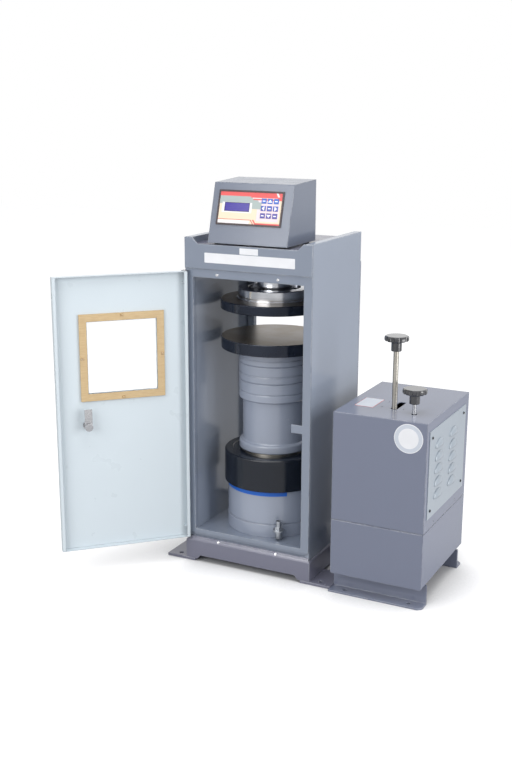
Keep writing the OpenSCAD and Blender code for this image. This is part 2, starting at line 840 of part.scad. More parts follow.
// Indicator on rubber feet; its face leans back, so its parts use the face's own
// frame: x to the right, y up the slope, z outwards
case_y0 = -side_y - fascia_fold;
case_y1 = case_y0 + case_d;
case_z = crosshead_top + rubber_h;
face_angle = atan(face_back / case_front_h);
bezel_x = -3.75;
bezel_y = 102.7;
bezel_t = 2.5;
panel_face_w = bezel_w - 2 * bezel_rim;
panel_face_h = bezel_h - 2 * bezel_rim;
membrane_t = 1.5;
board_z = -4.5;
lcd_x = -44.3;
lcd_y = 104.75;
keys_x = 56.7;
keys_y = 104;

module face_frame() {
    translate([0, case_y0, case_z]) rotate([90 - face_angle, 0, 0]) children();
}

module face_block(cx, cy, w, h, z0, z1) {
    box(cx - w / 2, cx + w / 2, cy - h / 2, cy + h / 2, z0, z1);
}

module case_block(t) {
    lean = t / cos(face_angle);
    slope = t * tan(face_angle);
    translate([t - case_w / 2, 0, 0]) rotate([90, 0, 90]) linear_extrude(case_w - 2 * t)
        polygon([[case_y0 + lean + slope, case_z + t], [case_y1 - t, case_z + t],
                 [case_y1 - t, case_z + case_h - t], [case_y0 + face_back + lean - slope, case_z + case_front_h - t]]);
}

module indicator_case() {
    color(paint) difference() {
        case_block(0);
        case_block(case_t);
        face_frame() face_block(bezel_x, bezel_y, panel_face_w - 6, panel_face_h - 6, -3 * case_t, cut);
        translate([case_w / 4, case_y1 - 2 * case_t, case_z + 30]) rotate([-90, 0, 0]) cylinder(r = 6, h = 10);
    }
}

module indicator_bezel() {
    color([0.12, 0.12, 0.13]) face_frame() difference() {
        face_block(bezel_x, bezel_y, bezel_w, bezel_h, 0, bezel_t);
        face_block(bezel_x, bezel_y, panel_face_w, panel_face_h, -cut, bezel_t + cut);
    }
}

function key_centre(i) = [keys_x + (i % 3 - 1) * key_px, keys_y + (1 - floor(i / 3)) * key_py];

// Membrane on the face and, on four posts behind it, the board of the keys
module membrane_panel() {
    board_w = panel_face_w - 10;
    board_h = panel_face_h - 10;
    color([0.86, 0.83, 0.66]) face_frame() {
        difference() {
            face_block(bezel_x, bezel_y, panel_face_w, panel_face_h, 0, membrane_t);
            face_block(lcd_x, lcd_y, lcd_w, lcd_h, -cut, membrane_t + cut);
            for (i = [0 : 8])
                face_block(key_centre(i)[0], key_centre(i)[1], key_w + 2 * pass_gap, key_h + 2 * pass_gap,
                    -cut, membrane_t + cut);
        }
        face_block(bezel_x, bezel_y, board_w, board_h, board_z - 1.6, board_z);
        for (sx = [-1, 1], sy = [-1, 1])
            face_block(bezel_x + sx * (board_w / 2 - 3), bezel_y + sy * (board_h / 2 - 3), 6, 6, board_z, 0);
    }
}

module lcd_window() {
    color([0.15, 0.33, 0.80]) face_frame() face_block(lcd_x, lcd_y, lcd_w - 0.2, lcd_h - 0.2, board_z, 1.2);
}

// One key: cap through the membrane, flange behind it and plunger above the board
module key(i) {
    color([0.13, 0.30, 0.72]) face_frame() {
        face_block(key_centre(i)[0], key_centre(i)[1], key_w, key_h, -1, membrane_t + 0.5);
        face_block(key_centre(i)[0], key_centre(i)[1], key_w + 2.4, key_h + 2.4, -1.8, -pass_gap);
        face_block(key_centre(i)[0], key_centre(i)[1], 4, 4, board_z + key_travel + pass_gap, -1);
    }
}

module indicator_feet() {
    color([0.1, 0.1, 0.1]) for (sx = [-1, 1], y = [case_y0 + 22, case_y1 - 22])
        translate([sx * (case_w / 2 - 20), y, crosshead_top]) cylinder(r1 = 9, r2 = 8, h = rubber_h);
}

// Power pack
pack_x0 = pad_x + foot_t;
pack_x1 = pack_x0 + pack_w;
pack_y0 = -skirt_y - 14;
pack_y1 = pack_y0 + pack_d;
tank_top = pack_clear + tank_h;
lid_t = 5;
lid_inset = 6;
lid_top = tank_top + lid_t;
cover_top = tank_top + cover_h;
motor_x = pack_x0 + 163;
motor_y = 54;
outlet_x = pack_x0 + 63;
outlet_z = tank_top + 66;

// Outline of the tank seen from the front, its lower corners folded round
module tank_outline(inset) {
    r = tank_bend_r - inset;
    x0 = pack_x0 + inset;
    x1 = pack_x1 - inset;
    translate([x0, pack_clear + tank_bend_r]) square([x1 - x0, tank_h - tank_bend_r - inset]);
    translate([x0 + r, pack_clear + inset]) square([x1 - x0 - 2 * r, tank_h - 2 * inset]);
    for (x = [x0 + r, x1 - r]) translate([x, pack_clear + tank_bend_r]) circle(r = r);
}

module pack_tank() {
    rim = 18;
    seam = 1.5;
    color(paint) difference() {
        front_plate(pack_y0, pack_y1) tank_outline(0);
        front_plate(pack_y0 + tank_t, pack_y1 - tank_t) tank_outline(tank_t);
        box(pack_x0 + rim, pack_x1 - rim, pack_y0 + rim, pack_y1 - rim, tank_top - tank_t - cut, tank_top + cut);
        difference() {
            box(pack_x0 - cut, pack_x1 + cut, pack_y0 - cut, pack_y1 + cut, tank_top - 2, tank_top + cut);
            box(pack_x0 + seam, pack_x1 - seam, pack_y0 + seam, pack_y1 - seam, tank_top - 3, tank_top + 2 * cut);
        }
    }
}

module tank_lid() {
    color(paint) difference() {
        box(pack_x0 + lid_inset, pack_x1 - lid_inset, pack_y0 + lid_inset, pack_y1 - lid_inset, tank_top, lid_top);
        translate([motor_x, motor_y, tank_top - cut]) cylinder(r = 30, h = lid_t + 2 * cut);
    }
}

// Controls: a lever on the left and a release valve on the right of the block
lever_in = 139;
lever_back = 104;
stem_in = 207;
stem_back = 74;
lever_x = pack_x0 + lever_in;
lever_y = pack_y0 + lever_back;
stem_x = pack_x0 + stem_in;
stem_y = pack_y0 + stem_back;
pivot_z = lid_top + lever_pivot_h;
slot_front = 10;
slot_back = 74;
slot_half = lever_r + 2.5;

module lever_slot() {
    translate([lever_x, lever_y - slot_front + slot_half]) circle(r = slot_half);
    translate([lever_x, lever_y + slot_back - slot_half]) circle(r = slot_half);
    translate([lever_x - slot_half, lever_y - slot_front + slot_half])
        square([2 * slot_half, slot_front + slot_back - 2 * slot_half]);
}

panel_t = 1.5;
panel_y0 = pack_y0 + 21;
panel_y1 = panel_y0 + louvre_panel_w;
panel_z0 = tank_top + 34;
panel_z1 = panel_z0 + louvre_panel_h;
panel_lap = 14;

module pack_cover() {
    color(paint) difference() {
        box(pack_x0, pack_x1, pack_y0, pack_y1, tank_top, cover_top);
        box(pack_x0 + cover_t, pack_x1 - cover_t, pack_y0 + cover_t, pack_y1 - cover_t,
            tank_top - cut, cover_top - cover_t);
        box(pack_x1 - cover_t - cut, pack_x1 + cut, panel_y0 + panel_lap, panel_y1 - panel_lap,
            panel_z0 + panel_lap, panel_z1 - panel_lap);
        translate([0, 0, cover_top - cover_t - cut]) linear_extrude(cover_t + 2 * cut) {
            lever_slot();
            translate([stem_x, stem_y]) circle(r = stem_r + 3);
            for (p = [[-38, 5], [-37, 60], [25, 6]]) translate([lever_x + p[0], lever_y + p[1]]) circle(r = 2.5);
        }
        translate([outlet_x, pack_y1, outlet_z]) rotate([90, 0, 0])
            translate([0, 0, -cut]) cylinder(r = port_bore_r, h = cover_t + 2 * cut);
        gland_place() translate([0, 0, -cover_t - cut]) cylinder(r = 8, h = cover_t + 2 * cut);
        for (y = [panel_y0 + 66, panel_y1 - 63]) translate([pack_x1 - cover_t - cut, y, tank_top + 11])
            rotate([0, 90, 0]) cylinder(r = 2.5, h = cover_t + 2 * cut);
    }
}

// Louvred side panel: each hood is pressed outwards and stays open along its foot
louvre_wall = 1.2;
louvre_rows = panel_z0 + louvre_panel_h / 2 + 4;

// Quarter cylinder whose ends taper in; inset shrinks it to the hood's hollow
module hood(inset, x0, z0) {
    r = louvre_r - inset;
    hw = louvre_l / 2 - inset;
    intersection() {
        rotate([90, 0, 0]) cylinder(r = r, h = 2 * hw, center = true, $fn = 48);
        translate([0, 0, z0]) linear_extrude(2 * louvre_r)
            polygon([[x0, -hw], [0, -hw], [0.6 * r, 0.35 * r - hw], [r + cut, r - hw],
                     [r + cut, hw - r], [0.6 * r, hw - 0.35 * r], [0, hw], [x0, hw]]);
    }
}

module louvre_places() {
    for (side = [-1, 1], i = [0 : louvre_n - 1])
        translate([pack_x1 + panel_t, (panel_y0 + panel_y1) / 2 + side * (louvre_l / 2 + 14.5),
                   louvre_rows + (i - (louvre_n - 1) / 2) * louvre_pitch])
            children();
}

module louvre_panel() {
    color(paint) difference() {
        union() {
            box(pack_x1, pack_x1 + panel_t, panel_y0, panel_y1, panel_z0, panel_z1);
            louvre_places() hood(0, -0.5, 0);
        }
        louvre_places() hood(louvre_wall, -2 * panel_t, -1);
        panel_screw_places() screw_hole(panel_t + cut);
    }
}

// Angle feet under the ends of the tank
module pack_feet() {
    foot_x0 = pad_x;
    foot_x1 = pack_x1 + 3;
    flange = foot_inset - foot_t;
    mid_y = (pack_y0 + pack_y1) / 2;
    clip = 16;
    color(paint) for (end = [0, 1]) translate([0, mid_y, 0]) mirror([0, end, 0]) translate([0, -pack_d / 2, 0])
        difference() {
            union() {
                box(foot_x0, foot_x1, foot_inset - foot_t, foot_inset, 0, pack_clear);
                box(foot_x0, foot_x1, 0, foot_inset, 0, foot_t);
            }
            for (side = [-1, 1]) translate([(foot_x0 + foot_x1) / 2 + side * foot_bolt_x / 2, flange / 2 + 1, -cut])
                cylinder(r = foot_hole_r, h = foot_t + 2 * cut);
            translate([foot_x1, 0, -cut]) rotate([0, 0, 45]) cube([2 * clip, clip, 4 * foot_t], center = true);
        }
}

// Manifold on the lid with the lever's bracket and the release valve's bore
block_x0 = lever_x - 41;
block_x1 = stem_x + 18;
block_top = lid_top + 81;
pin_r = 5;
hub_half = 8;

module valve_block() {
    cheek = 8;
    color([0.62, 0.63, 0.65]) difference() {
        union() {
            box(block_x0, block_x1, stem_y - 18, lever_y + 45, lid_top, block_top);
            for (side = [-1, 1]) translate([lever_x + side * (hub_half + pass_gap + cheek / 2), lever_y, 0]) {
                box(-cheek / 2, cheek / 2, -13, 13, block_top, pivot_z);
                translate([-cheek / 2, 0, pivot_z]) rotate([0, 90, 0]) cylinder(r = 13, h = cheek);
            }
            translate([lever_x - hub_half - cheek, lever_y, pivot_z]) rotate([0, 90, 0])
                cylinder(r = pin_r, h = 2 * (hub_half + cheek));
        }
        translate([stem_x, stem_y, block_top - 40]) cylinder(r = stem_r + run_gap, h = 50);
    }
}

module control_lever() {
    color(bright) difference() {
        union() {
            translate([lever_x, lever_y, pivot_z]) cylinder(r = lever_r, h = cover_top + lever_reach + 28 - pivot_z);
            translate([lever_x - hub_half, lever_y, pivot_z]) rotate([0, 90, 0]) cylinder(r = 12, h = 2 * hub_half);
        }
        translate([lever_x - 2 * hub_half, lever_y, pivot_z]) rotate([0, 90, 0])
            cylinder(r = pin_r + run_gap, h = 4 * hub_half);
    }
}

module release_stem() {
    color(bright) translate([stem_x, stem_y, block_top - 39])
        cylinder(r = stem_r, h = cover_top + stem_reach + 28 - block_top + 39);
}

// Lobed knob: hub, dished underside and a rim with finger notches
module knob(bore) {
    hub_r = 14.5;
    rim_z = knob_h - 14;
    difference() {
        rotate_extrude() polygon([[0, 0], [hub_r - 1, 0], [hub_r, 1], [hub_r, rim_z - 6], [hub_r + 3, rim_z - 1],
            [hub_r + 8, rim_z + 2], [knob_r - 6, rim_z + 2], [knob_r - 2, rim_z], [knob_r, rim_z + 3],
            [knob_r, knob_h - 5], [knob_r - 2, knob_h - 1.5], [knob_r - 5, knob_h], [0, knob_h]]);
        for (i = [0 : knob_lobes - 1]) rotate([0, 0, (i + 0.5) * 360 / knob_lobes])
            translate([knob_r + 3, 0, -cut]) cylinder(r = 6.5, h = knob_h + 2 * cut, $fn = 32);
        translate([0, 0, -cut]) cylinder(r = bore, h = 28 + cut + pass_gap);
    }
}

module lever_knob() {
    color([0.1, 0.1, 0.1]) translate([lever_x, lever_y, cover_top + lever_reach]) knob(lever_r + run_gap);
}

module release_knob() {
    color([0.1, 0.1, 0.1]) translate([stem_x, stem_y, cover_top + stem_reach]) knob(stem_r + run_gap);
}

// Motor on its bell housing, the pump in the tank and the shafts between them
shaft_r = 10;
bell_h = 58;
motor_z = lid_top + bell_h;

module at_motor(z) {
    translate([motor_x, motor_y, z]) children();
}

module pump_motor() {
    color([0.30, 0.38, 0.48]) difference() {
        at_motor(lid_top) {
            cylinder(r = 62, h = 8);
            cylinder(r = 44, h = bell_h);
            translate([0, 0, bell_h - 8]) cylinder(r = 66, h = 8);
            translate([0, 0, bell_h]) cylinder(r = 60, h = 190);
            for (i = [0 : 23]) rotate([0, 0, i * 15]) translate([58, -1.2, bell_h + 10]) cube([10, 2.4, 130]);
            translate([0, 0, bell_h + 150]) cylinder(r = 69, h = 48);
            translate([-34, -84, bell_h + 50]) cube([68, 40, 66]);
        }
        at_motor(lid_top - cut) cylinder(r = 32, h = bell_h + 1);
        at_motor(motor_z - cut) cylinder(r = shaft_r + run_gap, h = 40);
        for (turn = [0, 90]) rotate_about_motor(turn)
            translate([-60, -14, lid_top + 16]) cube([120, 28, 26]);
    }
}

module rotate_about_motor(turn) {
    translate([motor_x, motor_y, 0]) rotate([0, 0, turn]) children();
}

module hydraulic_pump() {
    color([0.25, 0.26, 0.28]) difference() {
        at_motor(0) {
            translate([0, 0, tank_top - 12]) cylinder(r = 48, h = 12);
            translate([0, 0, tank_top - 92]) cylinder(r = 36, h = 82);
            translate([-50, -10, tank_top - 80]) cube([30, 20, 30]);
        }
        at_motor(tank_top - 50) cylinder(r = shaft_r + run_gap, h = 60);
    }
}

module shaft_coupling() {
    jaw_z = bell_h / 2 - 4;
    color(bright) at_motor(lid_top) difference() {
        union() {
            translate([0, 0, -54]) cylinder(r = shaft_r, h = 54 + bell_h + 38);
            translate([0, 0, 6]) cylinder(r = 26, h = bell_h - 14);
        }
        for (turn = [0 : 60 : 300]) rotate([0, 0, turn]) translate([13, -2, jaw_z]) cube([20, 4, 8]);
    }
}

// Cable gland in the back of the cover
gland_in = 203;
gland_up = 76;
module gland_place() {
    translate([pack_x0 + gland_in, pack_y1, tank_top + gland_up]) rotate([-90, 0, 0]) children();
}

module cable_gland() {
    color([0.1, 0.1, 0.1]) gland_place() difference() {
        union() {
            translate([0, 0, -cover_t - 4]) cylinder(r = 7.9, h = 8);
            cylinder(r = 14, h = 8, $fn = 6);
            translate([0, 0, 8]) cylinder(r1 = 12, r2 = 8, h = 14);
        }
        translate([0, 0, -10]) cylinder(r = 4.5, h = 40);
    }
}

module key_1() { key(0); }
module key_2() { key(1); }
module key_3() { key(2); }
module key_4() { key(3); }
module key_5() { key(4); }
module key_6() { key(5); }
module key_7() { key(6); }
module key_8() { key(7); }
module key_9() { key(8); }

left_side_plate();
right_side_plate();
base_bolster();
crosshead();
base_skirt();
foot_pads();
front_fascia();
door_frame();
rear_frame();
casing_screws();
hinge_fixed_leaves();
spindle();
cylinder_body();
gland_ring();
hose_ports();
indicator_case();
indicator_bezel();
membrane_panel();
lcd_window();
indicator_feet();
pack_tank();
tank_lid();
pack_cover();
louvre_panel();
pack_feet();
valve_block();
pump_motor();
hydraulic_pump();
cable_gland();
door_panel();
door_hinge_leaves();
window_frame();
window_pane();
window_screws();
lock_body();
lock_cam();
ram();
piston_seal();
pedestal();
bottom_collar();
middle_collar();
top_collar();
lower_platen();
seat_liner();
upper_platen();
seat_ring();
control_lever();
lever_knob();
release_stem();
release_knob();
shaft_coupling();
key_1();
key_2();
key_3();
key_4();
key_5();
key_6();
key_7();
key_8();
key_9();
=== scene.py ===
# %% [markdown]
# # A rock compression tester
# The machine has three parts: a load frame with a windowed door, a sloping
# indicator on top and a louvred power pack beside it. Nearly every solid comes
# from the imported CAD model, so this lesson mostly dresses it: paint, ground
# steel, printed film, labels, light and a camera.

import math

import bpy
import numpy as np
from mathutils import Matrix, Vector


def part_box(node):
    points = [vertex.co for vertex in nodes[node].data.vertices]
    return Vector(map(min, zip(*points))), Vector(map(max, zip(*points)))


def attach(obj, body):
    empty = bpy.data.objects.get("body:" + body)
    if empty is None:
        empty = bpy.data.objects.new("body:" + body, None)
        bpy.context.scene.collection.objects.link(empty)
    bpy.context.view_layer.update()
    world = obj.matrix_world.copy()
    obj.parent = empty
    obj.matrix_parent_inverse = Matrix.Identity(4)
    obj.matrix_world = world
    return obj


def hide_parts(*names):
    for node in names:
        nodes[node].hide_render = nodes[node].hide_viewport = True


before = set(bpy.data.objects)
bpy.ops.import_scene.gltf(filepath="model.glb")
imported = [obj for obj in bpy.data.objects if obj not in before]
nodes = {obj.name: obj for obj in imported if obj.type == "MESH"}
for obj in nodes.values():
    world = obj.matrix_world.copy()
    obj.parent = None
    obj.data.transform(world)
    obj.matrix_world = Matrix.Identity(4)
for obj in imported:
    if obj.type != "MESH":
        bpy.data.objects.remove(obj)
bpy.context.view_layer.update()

# %% [markdown]
# ## Camera
# A camera can be moved by eye until the picture looks right, but then every
# size is a guess. This one was worked out from the frame's edges in the
# photograph, taken from the front right, a little above the indicator: a focal
# length of 1118.5 pixels on a picture 768 pixels high, 27.67 degrees round to
# the right and 14.53 degrees down. The lens axis meets the picture at (242.0,
# 386.9), so the camera is shifted by the rest.

# %% Camera
PICTURE_W, PICTURE_H = 512, 768
FOCAL_PX, AXIS_X, AXIS_Y = 1118.5, 242.0, 386.9
YAW, PITCH = math.radians(27.67), math.radians(14.53)

camera_data = bpy.data.cameras.new("camera")
camera_data.sensor_width = 36.0
camera_data.lens = FOCAL_PX * camera_data.sensor_width / PICTURE_H
camera_data.shift_x = (PICTURE_W / 2 - AXIS_X) / PICTURE_H
camera_data.shift_y = (AXIS_Y - PICTURE_H / 2) / PICTURE_H
camera = bpy.data.objects.new("camera", camera_data)
bpy.context.scene.collection.objects.link(camera)
camera.location = (1.4297, -2.9344, 1.3747)
camera.rotation_euler = (math.pi / 2 - PITCH, 0, YAW)
bpy.context.scene.camera = camera
print("lens", round(camera_data.lens, 2), "mm")

# %% [markdown]
# ## Surfaces from numbers
# A new piece could be modelled by hand. Here it is a grid of points P[i, j],
# worked out for all points at once, because a formula gives the same piece
# each time. A row of the grid is a closed ring, neighbouring rings make the
# faces, and the two ends are closed by one flat face each.

# %% A mesh from rings of points
def ring_piece(name, points, material, body, smooth=True):
    """Row i is a closed ring. Faces join P[i, j], P[i+1, j], P[i+1, j+1] and
    P[i, j+1], with j + 1 taken round to 0, and a flat face closes each end."""
    m, n = points.shape[:2]
    index = np.arange(m * n).reshape(m, n)
    after = np.roll(index, -1, axis=1)
    quads = np.stack([index[:-1], index[1:], after[1:], after[:-1]], axis=-1)
    faces = quads.reshape(-1, 4).tolist()
    faces += [index[0].tolist(), index[-1, ::-1].tolist()]
    mesh = bpy.data.meshes.new(name)
    mesh.from_pydata(points.reshape(-1, 3).tolist(), [], faces)
    mesh.polygons.foreach_set("use_smooth", [smooth] * len(faces))
    mesh.materials.append(material)
    mesh.update()
    piece = bpy.data.objects.new(name, mesh)
    bpy.context.scene.collection.objects.link(piece)
    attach(piece, body)
    print("made", name, "with", len(faces), "faces on", body)


# %% [markdown]
# ## Finishes as node trees
# A material could be put together in the shader editor. Here it is written
# out, so that every number can be read and changed. One helper starts a node
# group with named inputs and outputs, the other adds a node and sets it up.

# %% Groups and nodes
def new_group(name, inputs, outputs):
    """A shader group; inputs and outputs are (name, kind, value) and (name, kind)."""
    group = bpy.data.node_groups.new(name, "ShaderNodeTree")
    print("group", name, "takes", [entry[0] for entry in inputs],
          "and gives", [entry[0] for entry in outputs])
    for label, kind, value in inputs:
        socket = group.interface.new_socket(label, in_out="INPUT", socket_type="NodeSocket" + kind)
        socket.default_value = value
    for label, kind in outputs:
        group.interface.new_socket(label, in_out="OUTPUT", socket_type="NodeSocket" + kind)
    source = group.nodes.new("NodeGroupInput")
    sink = group.nodes.new("NodeGroupOutput")
    return group, source, sink


def add_node(tree, kind, **settings):
    """A node of that kind; a key with capital letters sets the input of that name."""
    made = tree.nodes.new("ShaderNode" + kind)
    for key, value in settings.items():
        if key[0].isupper():
            made.inputs[key.replace("_", " ")].default_value = value
        else:
            setattr(made, key, value)
    return made


# %% [markdown]
# Three more helpers link what they are given: a sum or product, a noise, and
# a mix of two colours. Each takes numbers or sockets, so they can be nested
# as a formula is.

# %% Sums, noise and mixed colours
def math_node(tree, operation, a, b=None):
    """One Math node; a and b are each a number or a socket."""
    made = tree.nodes.new("ShaderNodeMath")
    made.operation = operation
    for place, value in enumerate((a, b)):
        if value is None:
            continue
        if isinstance(value, (int, float)):
            made.inputs[place].default_value = value
        else:
            tree.links.new(value, made.inputs[place])
    return made.outputs[0]


def noise(tree, place, scale, detail=2.0):
    """Noise around 0.5 at that scale per metre."""
    made = add_node(tree, "TexNoise", Detail=detail)
    if isinstance(scale, (int, float)):
        made.inputs["Scale"].default_value = scale
    else:
        tree.links.new(scale, made.inputs["Scale"])
    tree.links.new(place, made.inputs["Vector"])
    return made.outputs["Fac"]


def mix_colour(tree, share, first, second, blend="MIX"):
    """A colour between first and second; each is a socket or an RGBA tuple."""
    made = add_node(tree, "Mix", data_type="RGBA", blend_type=blend)
    for socket, value in ((made.inputs[0], share), (made.inputs[6], first), (made.inputs[7], second)):
        if isinstance(value, (int, float, tuple)):
            socket.default_value = value
        else:
            tree.links.new(value, socket)
    return made.outputs[2]


print("each number given above is a socket's value, and each socket is linked")

# %% [markdown]
# Sprayed enamel dries with fine dimples and with broad, faint changes of
# tone. It shows its surroundings almost as a mirror, so its roughness stays
# low and changes only a little. Nearly every sheet here is enamelled, so the
# effect is a group, built once and placed in each paint with its own values.

# %% Sprayed enamel
def make_enamel_group():
    """Tone = base x (1 +- Mottle); roughness = Rough +- a little; height = dimples."""
    group, source, sink = new_group(
        "sprayed enamel",
        [("Base", "Color", (0.3, 0.3, 0.3, 1)), ("Mottle", "Float", 0.05),
         ("Rough", "Float", 0.25), ("Dimple scale", "Float", 700.0)],
        [("Color", "Color"), ("Roughness", "Float"), ("Height", "Float")])
    place = add_node(group, "TexCoord").outputs["Object"]
    broad = noise(group, place, 4.0, 3.0)
    smear = noise(group, place, 22.0, 4.0)
    tone = math_node(group, "ADD", math_node(group, "MULTIPLY", broad, 0.65),
                     math_node(group, "MULTIPLY", smear, 0.35))
    swing = math_node(group, "MULTIPLY", math_node(group, "SUBTRACT", tone, 0.5), source.outputs["Mottle"])
    gain = math_node(group, "ADD", 1.0, math_node(group, "MULTIPLY", swing, 4.0))
    grey = add_node(group, "CombineColor")
    for channel in range(3):
        group.links.new(gain, grey.inputs[channel])
    toned = mix_colour(group, 1.0, source.outputs["Base"], grey.outputs[0], "MULTIPLY")
    group.links.new(toned, sink.inputs["Color"])
    wander = math_node(group, "MULTIPLY", math_node(group, "SUBTRACT", smear, 0.5), 0.16)
    group.links.new(math_node(group, "ADD", source.outputs["Rough"], wander), sink.inputs["Roughness"])
    group.links.new(noise(group, place, source.outputs["Dimple scale"], 1.0), sink.inputs["Height"])
    return group


enamel_group = make_enamel_group()

# %% [markdown]
# Sheet metal has no knife edges. They could be bevelled in the mesh, but the
# CAD model's meshes are left alone. The Bevel node looks at the surface close
# to each point and turns the normal as a small radius would, so an edge
# catches the light without more faces. The difference between that normal and
# the flat one also marks the edges that a finish lightens: paint rubbed thin,
# and on enamel a painted highlight along the bend.

# %% Rounded edges, rubbed and with painted highlights
def map_range(tree, value, low, high, to_low=0.0, to_high=1.0):
    """Value from low..high stretched to to_low..to_high, and held there outside."""
    made = add_node(tree, "MapRange")
    tree.links.new(value, made.inputs["Value"])
    for key, number in (("From Min", low), ("From Max", high), ("To Min", to_low), ("To Max", to_high)):
        made.inputs[key].default_value = number
    return made.outputs["Result"]


def make_edge_group():
    """Edge = ramp of 1 - bevelled normal . true normal; Normal = the bevelled one."""
    group, source, sink = new_group(
        "edge wear and highlight", [("Radius", "Float", 0.0012), ("Wear", "Float", 0.5)],
        [("Edge", "Float"), ("Normal", "Vector")])
    bevel = add_node(group, "Bevel", samples=4)
    group.links.new(source.outputs["Radius"], bevel.inputs["Radius"])
    flat = add_node(group, "NewGeometry")
    dot = add_node(group, "VectorMath", operation="DOT_PRODUCT")
    group.links.new(bevel.outputs[0], dot.inputs[0])
    group.links.new(flat.outputs["Normal"], dot.inputs[1])
    bend = map_range(group, dot.outputs["Value"], 0.995, 0.80)
    place = add_node(group, "TexCoord").outputs["Object"]
    broken = map_range(group, noise(group, place, 26.0, 3.0), 0.40, 0.60)
    share = math_node(group, "MULTIPLY", math_node(group, "MULTIPLY", bend, broken), source.outputs["Wear"])
    group.links.new(share, sink.inputs["Edge"])
    group.links.new(bevel.outputs[0], sink.inputs["Normal"])
    return group


edge_group = make_edge_group()

# %% [markdown]
# The platens, the ram and the seat ring were turned on a lathe, so their
# marks run round the load axis. An image of brushed steel would run straight.
# Distance from the axis and height go through a noise instead, which gives
# rings on a face and bands on a rim.

# %% Turned and brushed steel
def split(tree, vector):
    """The x, y and z sockets of a vector."""
    parts = add_node(tree, "SeparateXYZ")
    tree.links.new(vector, parts.inputs[0])
    return parts.outputs[0], parts.outputs[1], parts.outputs[2]


def make_turned_group():
    """Rings from noise(radius x Rings, height x Rings) about the load axis, x = y = 0."""
    group, source, sink = new_group(
        "turned rings", [("Rings", "Float", 900.0)],
        [("Ring", "Float"), ("Smear", "Float")])
    place = add_node(group, "TexCoord").outputs["Object"]
    x, y, z = split(group, place)
    square = math_node(group, "ADD", math_node(group, "MULTIPLY", x, x),
                       math_node(group, "MULTIPLY", y, y))
    radius = math_node(group, "SQRT", square)
    around = add_node(group, "CombineXYZ")
    for value, axis in ((radius, "X"), (z, "Y")):
        counted = math_node(group, "MULTIPLY", value, source.outputs["Rings"])
        group.links.new(counted, around.inputs[axis])
    group.links.new(noise(group, around.outputs[0], 1.0, 2.0), sink.inputs["Ring"])
    group.links.new(noise(group, place, 14.0, 5.0), sink.inputs["Smear"])
    return group


turned_group = make_turned_group()

# %% [markdown]
# A material is a Principled shader with a group or two in front of it. Every
# finish below starts from these three helpers: one puts a group into the
# material, one makes the material, and one adds the height of a texture over
# the rounded normal.

# %% A material from its parts
def place_group(tree, group, **values):
    """The group as a node in a material, with its own values."""
    made = tree.nodes.new("ShaderNodeGroup")
    made.node_tree = group
    for key, value in values.items():
        made.inputs[key.replace("_", " ")].default_value = value
    return made


def new_material(name):
    """A material with its Principled shader, ready to be linked."""
    material = bpy.data.materials.new(name)
    material.use_nodes = True
    return material, material.node_tree, material.node_tree.nodes["Principled BSDF"]


def set_height(tree, shader, height, strength, distance, normal=None):
    """A Bump node on the shader's normal, over a bevelled normal if there is one."""
    bump = add_node(tree, "Bump", Strength=strength, Distance=distance)
    tree.links.new(height, bump.inputs["Height"])
    if normal is not None:
        tree.links.new(normal, bump.inputs["Normal"])
    tree.links.new(bump.outputs[0], shader.inputs["Normal"])


print("groups ready to be placed:", [group.name for group in bpy.data.node_groups])

# %% [markdown]
# Now come three families of finish. Enamel is paint: the group gives its tone
# and its dimples, and along an edge the tone turns to a pale grey, both as paint
# rubbed thin and as a painted highlight of the bend.
# A high index of refraction gives the strong gloss of baked paint without a
# second coat.

# %% Enamel
def enamel(name, base, rough=0.24, mottle=0.05, wear_and_highlight=0.35, rubbed_and_highlight_tone=(0.55, 0.57, 0.60, 1),
           radius=0.0040, dimples=700.0, depth=0.00003, index=1.7):
    """Sprayed paint on sheet or turned steel, lightened along its edges by wear and by a painted highlight.
    """
    material, tree, shader = new_material(name)
    skin = place_group(tree, enamel_group, Base=(*base, 1), Mottle=mottle, Rough=rough,
                       Dimple_scale=dimples)
    edge = place_group(tree, edge_group, Radius=radius, Wear=wear_and_highlight)
    # Pale edges: paint rubbed thin, and a painted highlight along the rounded bend.
    colour = mix_colour(tree, edge.outputs["Edge"], skin.outputs["Color"], rubbed_and_highlight_tone)
    tree.links.new(colour, shader.inputs["Base Color"])
    tree.links.new(skin.outputs["Roughness"], shader.inputs["Roughness"])
    set_height(tree, shader, skin.outputs["Height"], 0.5, depth, edge.outputs["Normal"])
    shader.inputs["IOR"].default_value = index
    print("paint", name, base, "rough", rough)
    return material


# %% [markdown]
# Bare metal could be one grey with a low roughness, but then it looks like a
# mirror. Here the tone and the roughness both follow the rings of the cut and
# a few smears, so that the reflections break up.

# %% Turned steel
def turned_steel(name, light, dark, rough=(0.18, 0.34), rings=900.0):
    """Metal whose tone and roughness follow the rings of the lathe or grinder."""
    material, tree, shader = new_material(name)
    cut = place_group(tree, turned_group, Rings=rings)
    edge = place_group(tree, edge_group, Radius=0.0010, Wear=0.6)
    share = math_node(tree, "ADD", math_node(tree, "MULTIPLY", cut.outputs["Ring"], 0.45),
                      math_node(tree, "MULTIPLY", cut.outputs["Smear"], 0.55))
    stretched = map_range(tree, share, 0.35, 0.65)
    tone = mix_colour(tree, stretched, (*dark, 1), (*light, 1))
    colour = mix_colour(tree, edge.outputs["Edge"], tone, (0.75, 0.75, 0.76, 1))
    tree.links.new(colour, shader.inputs["Base Color"])
    tree.links.new(map_range(tree, share, 0.35, 0.65, *rough), shader.inputs["Roughness"])
    shader.inputs["Metallic"].default_value = 1.0
    set_height(tree, shader, cut.outputs["Ring"], 0.6, 0.00003, edge.outputs["Normal"])
    print("metal", name, light, "to", dark, "rough", rough)
    return material


# %% [markdown]
# Plastic and rubber come out of a mould with a fine grain, and get a little
# lighter where hands touch them. One helper does both, because only the
# colour, the roughness and the coat differ.

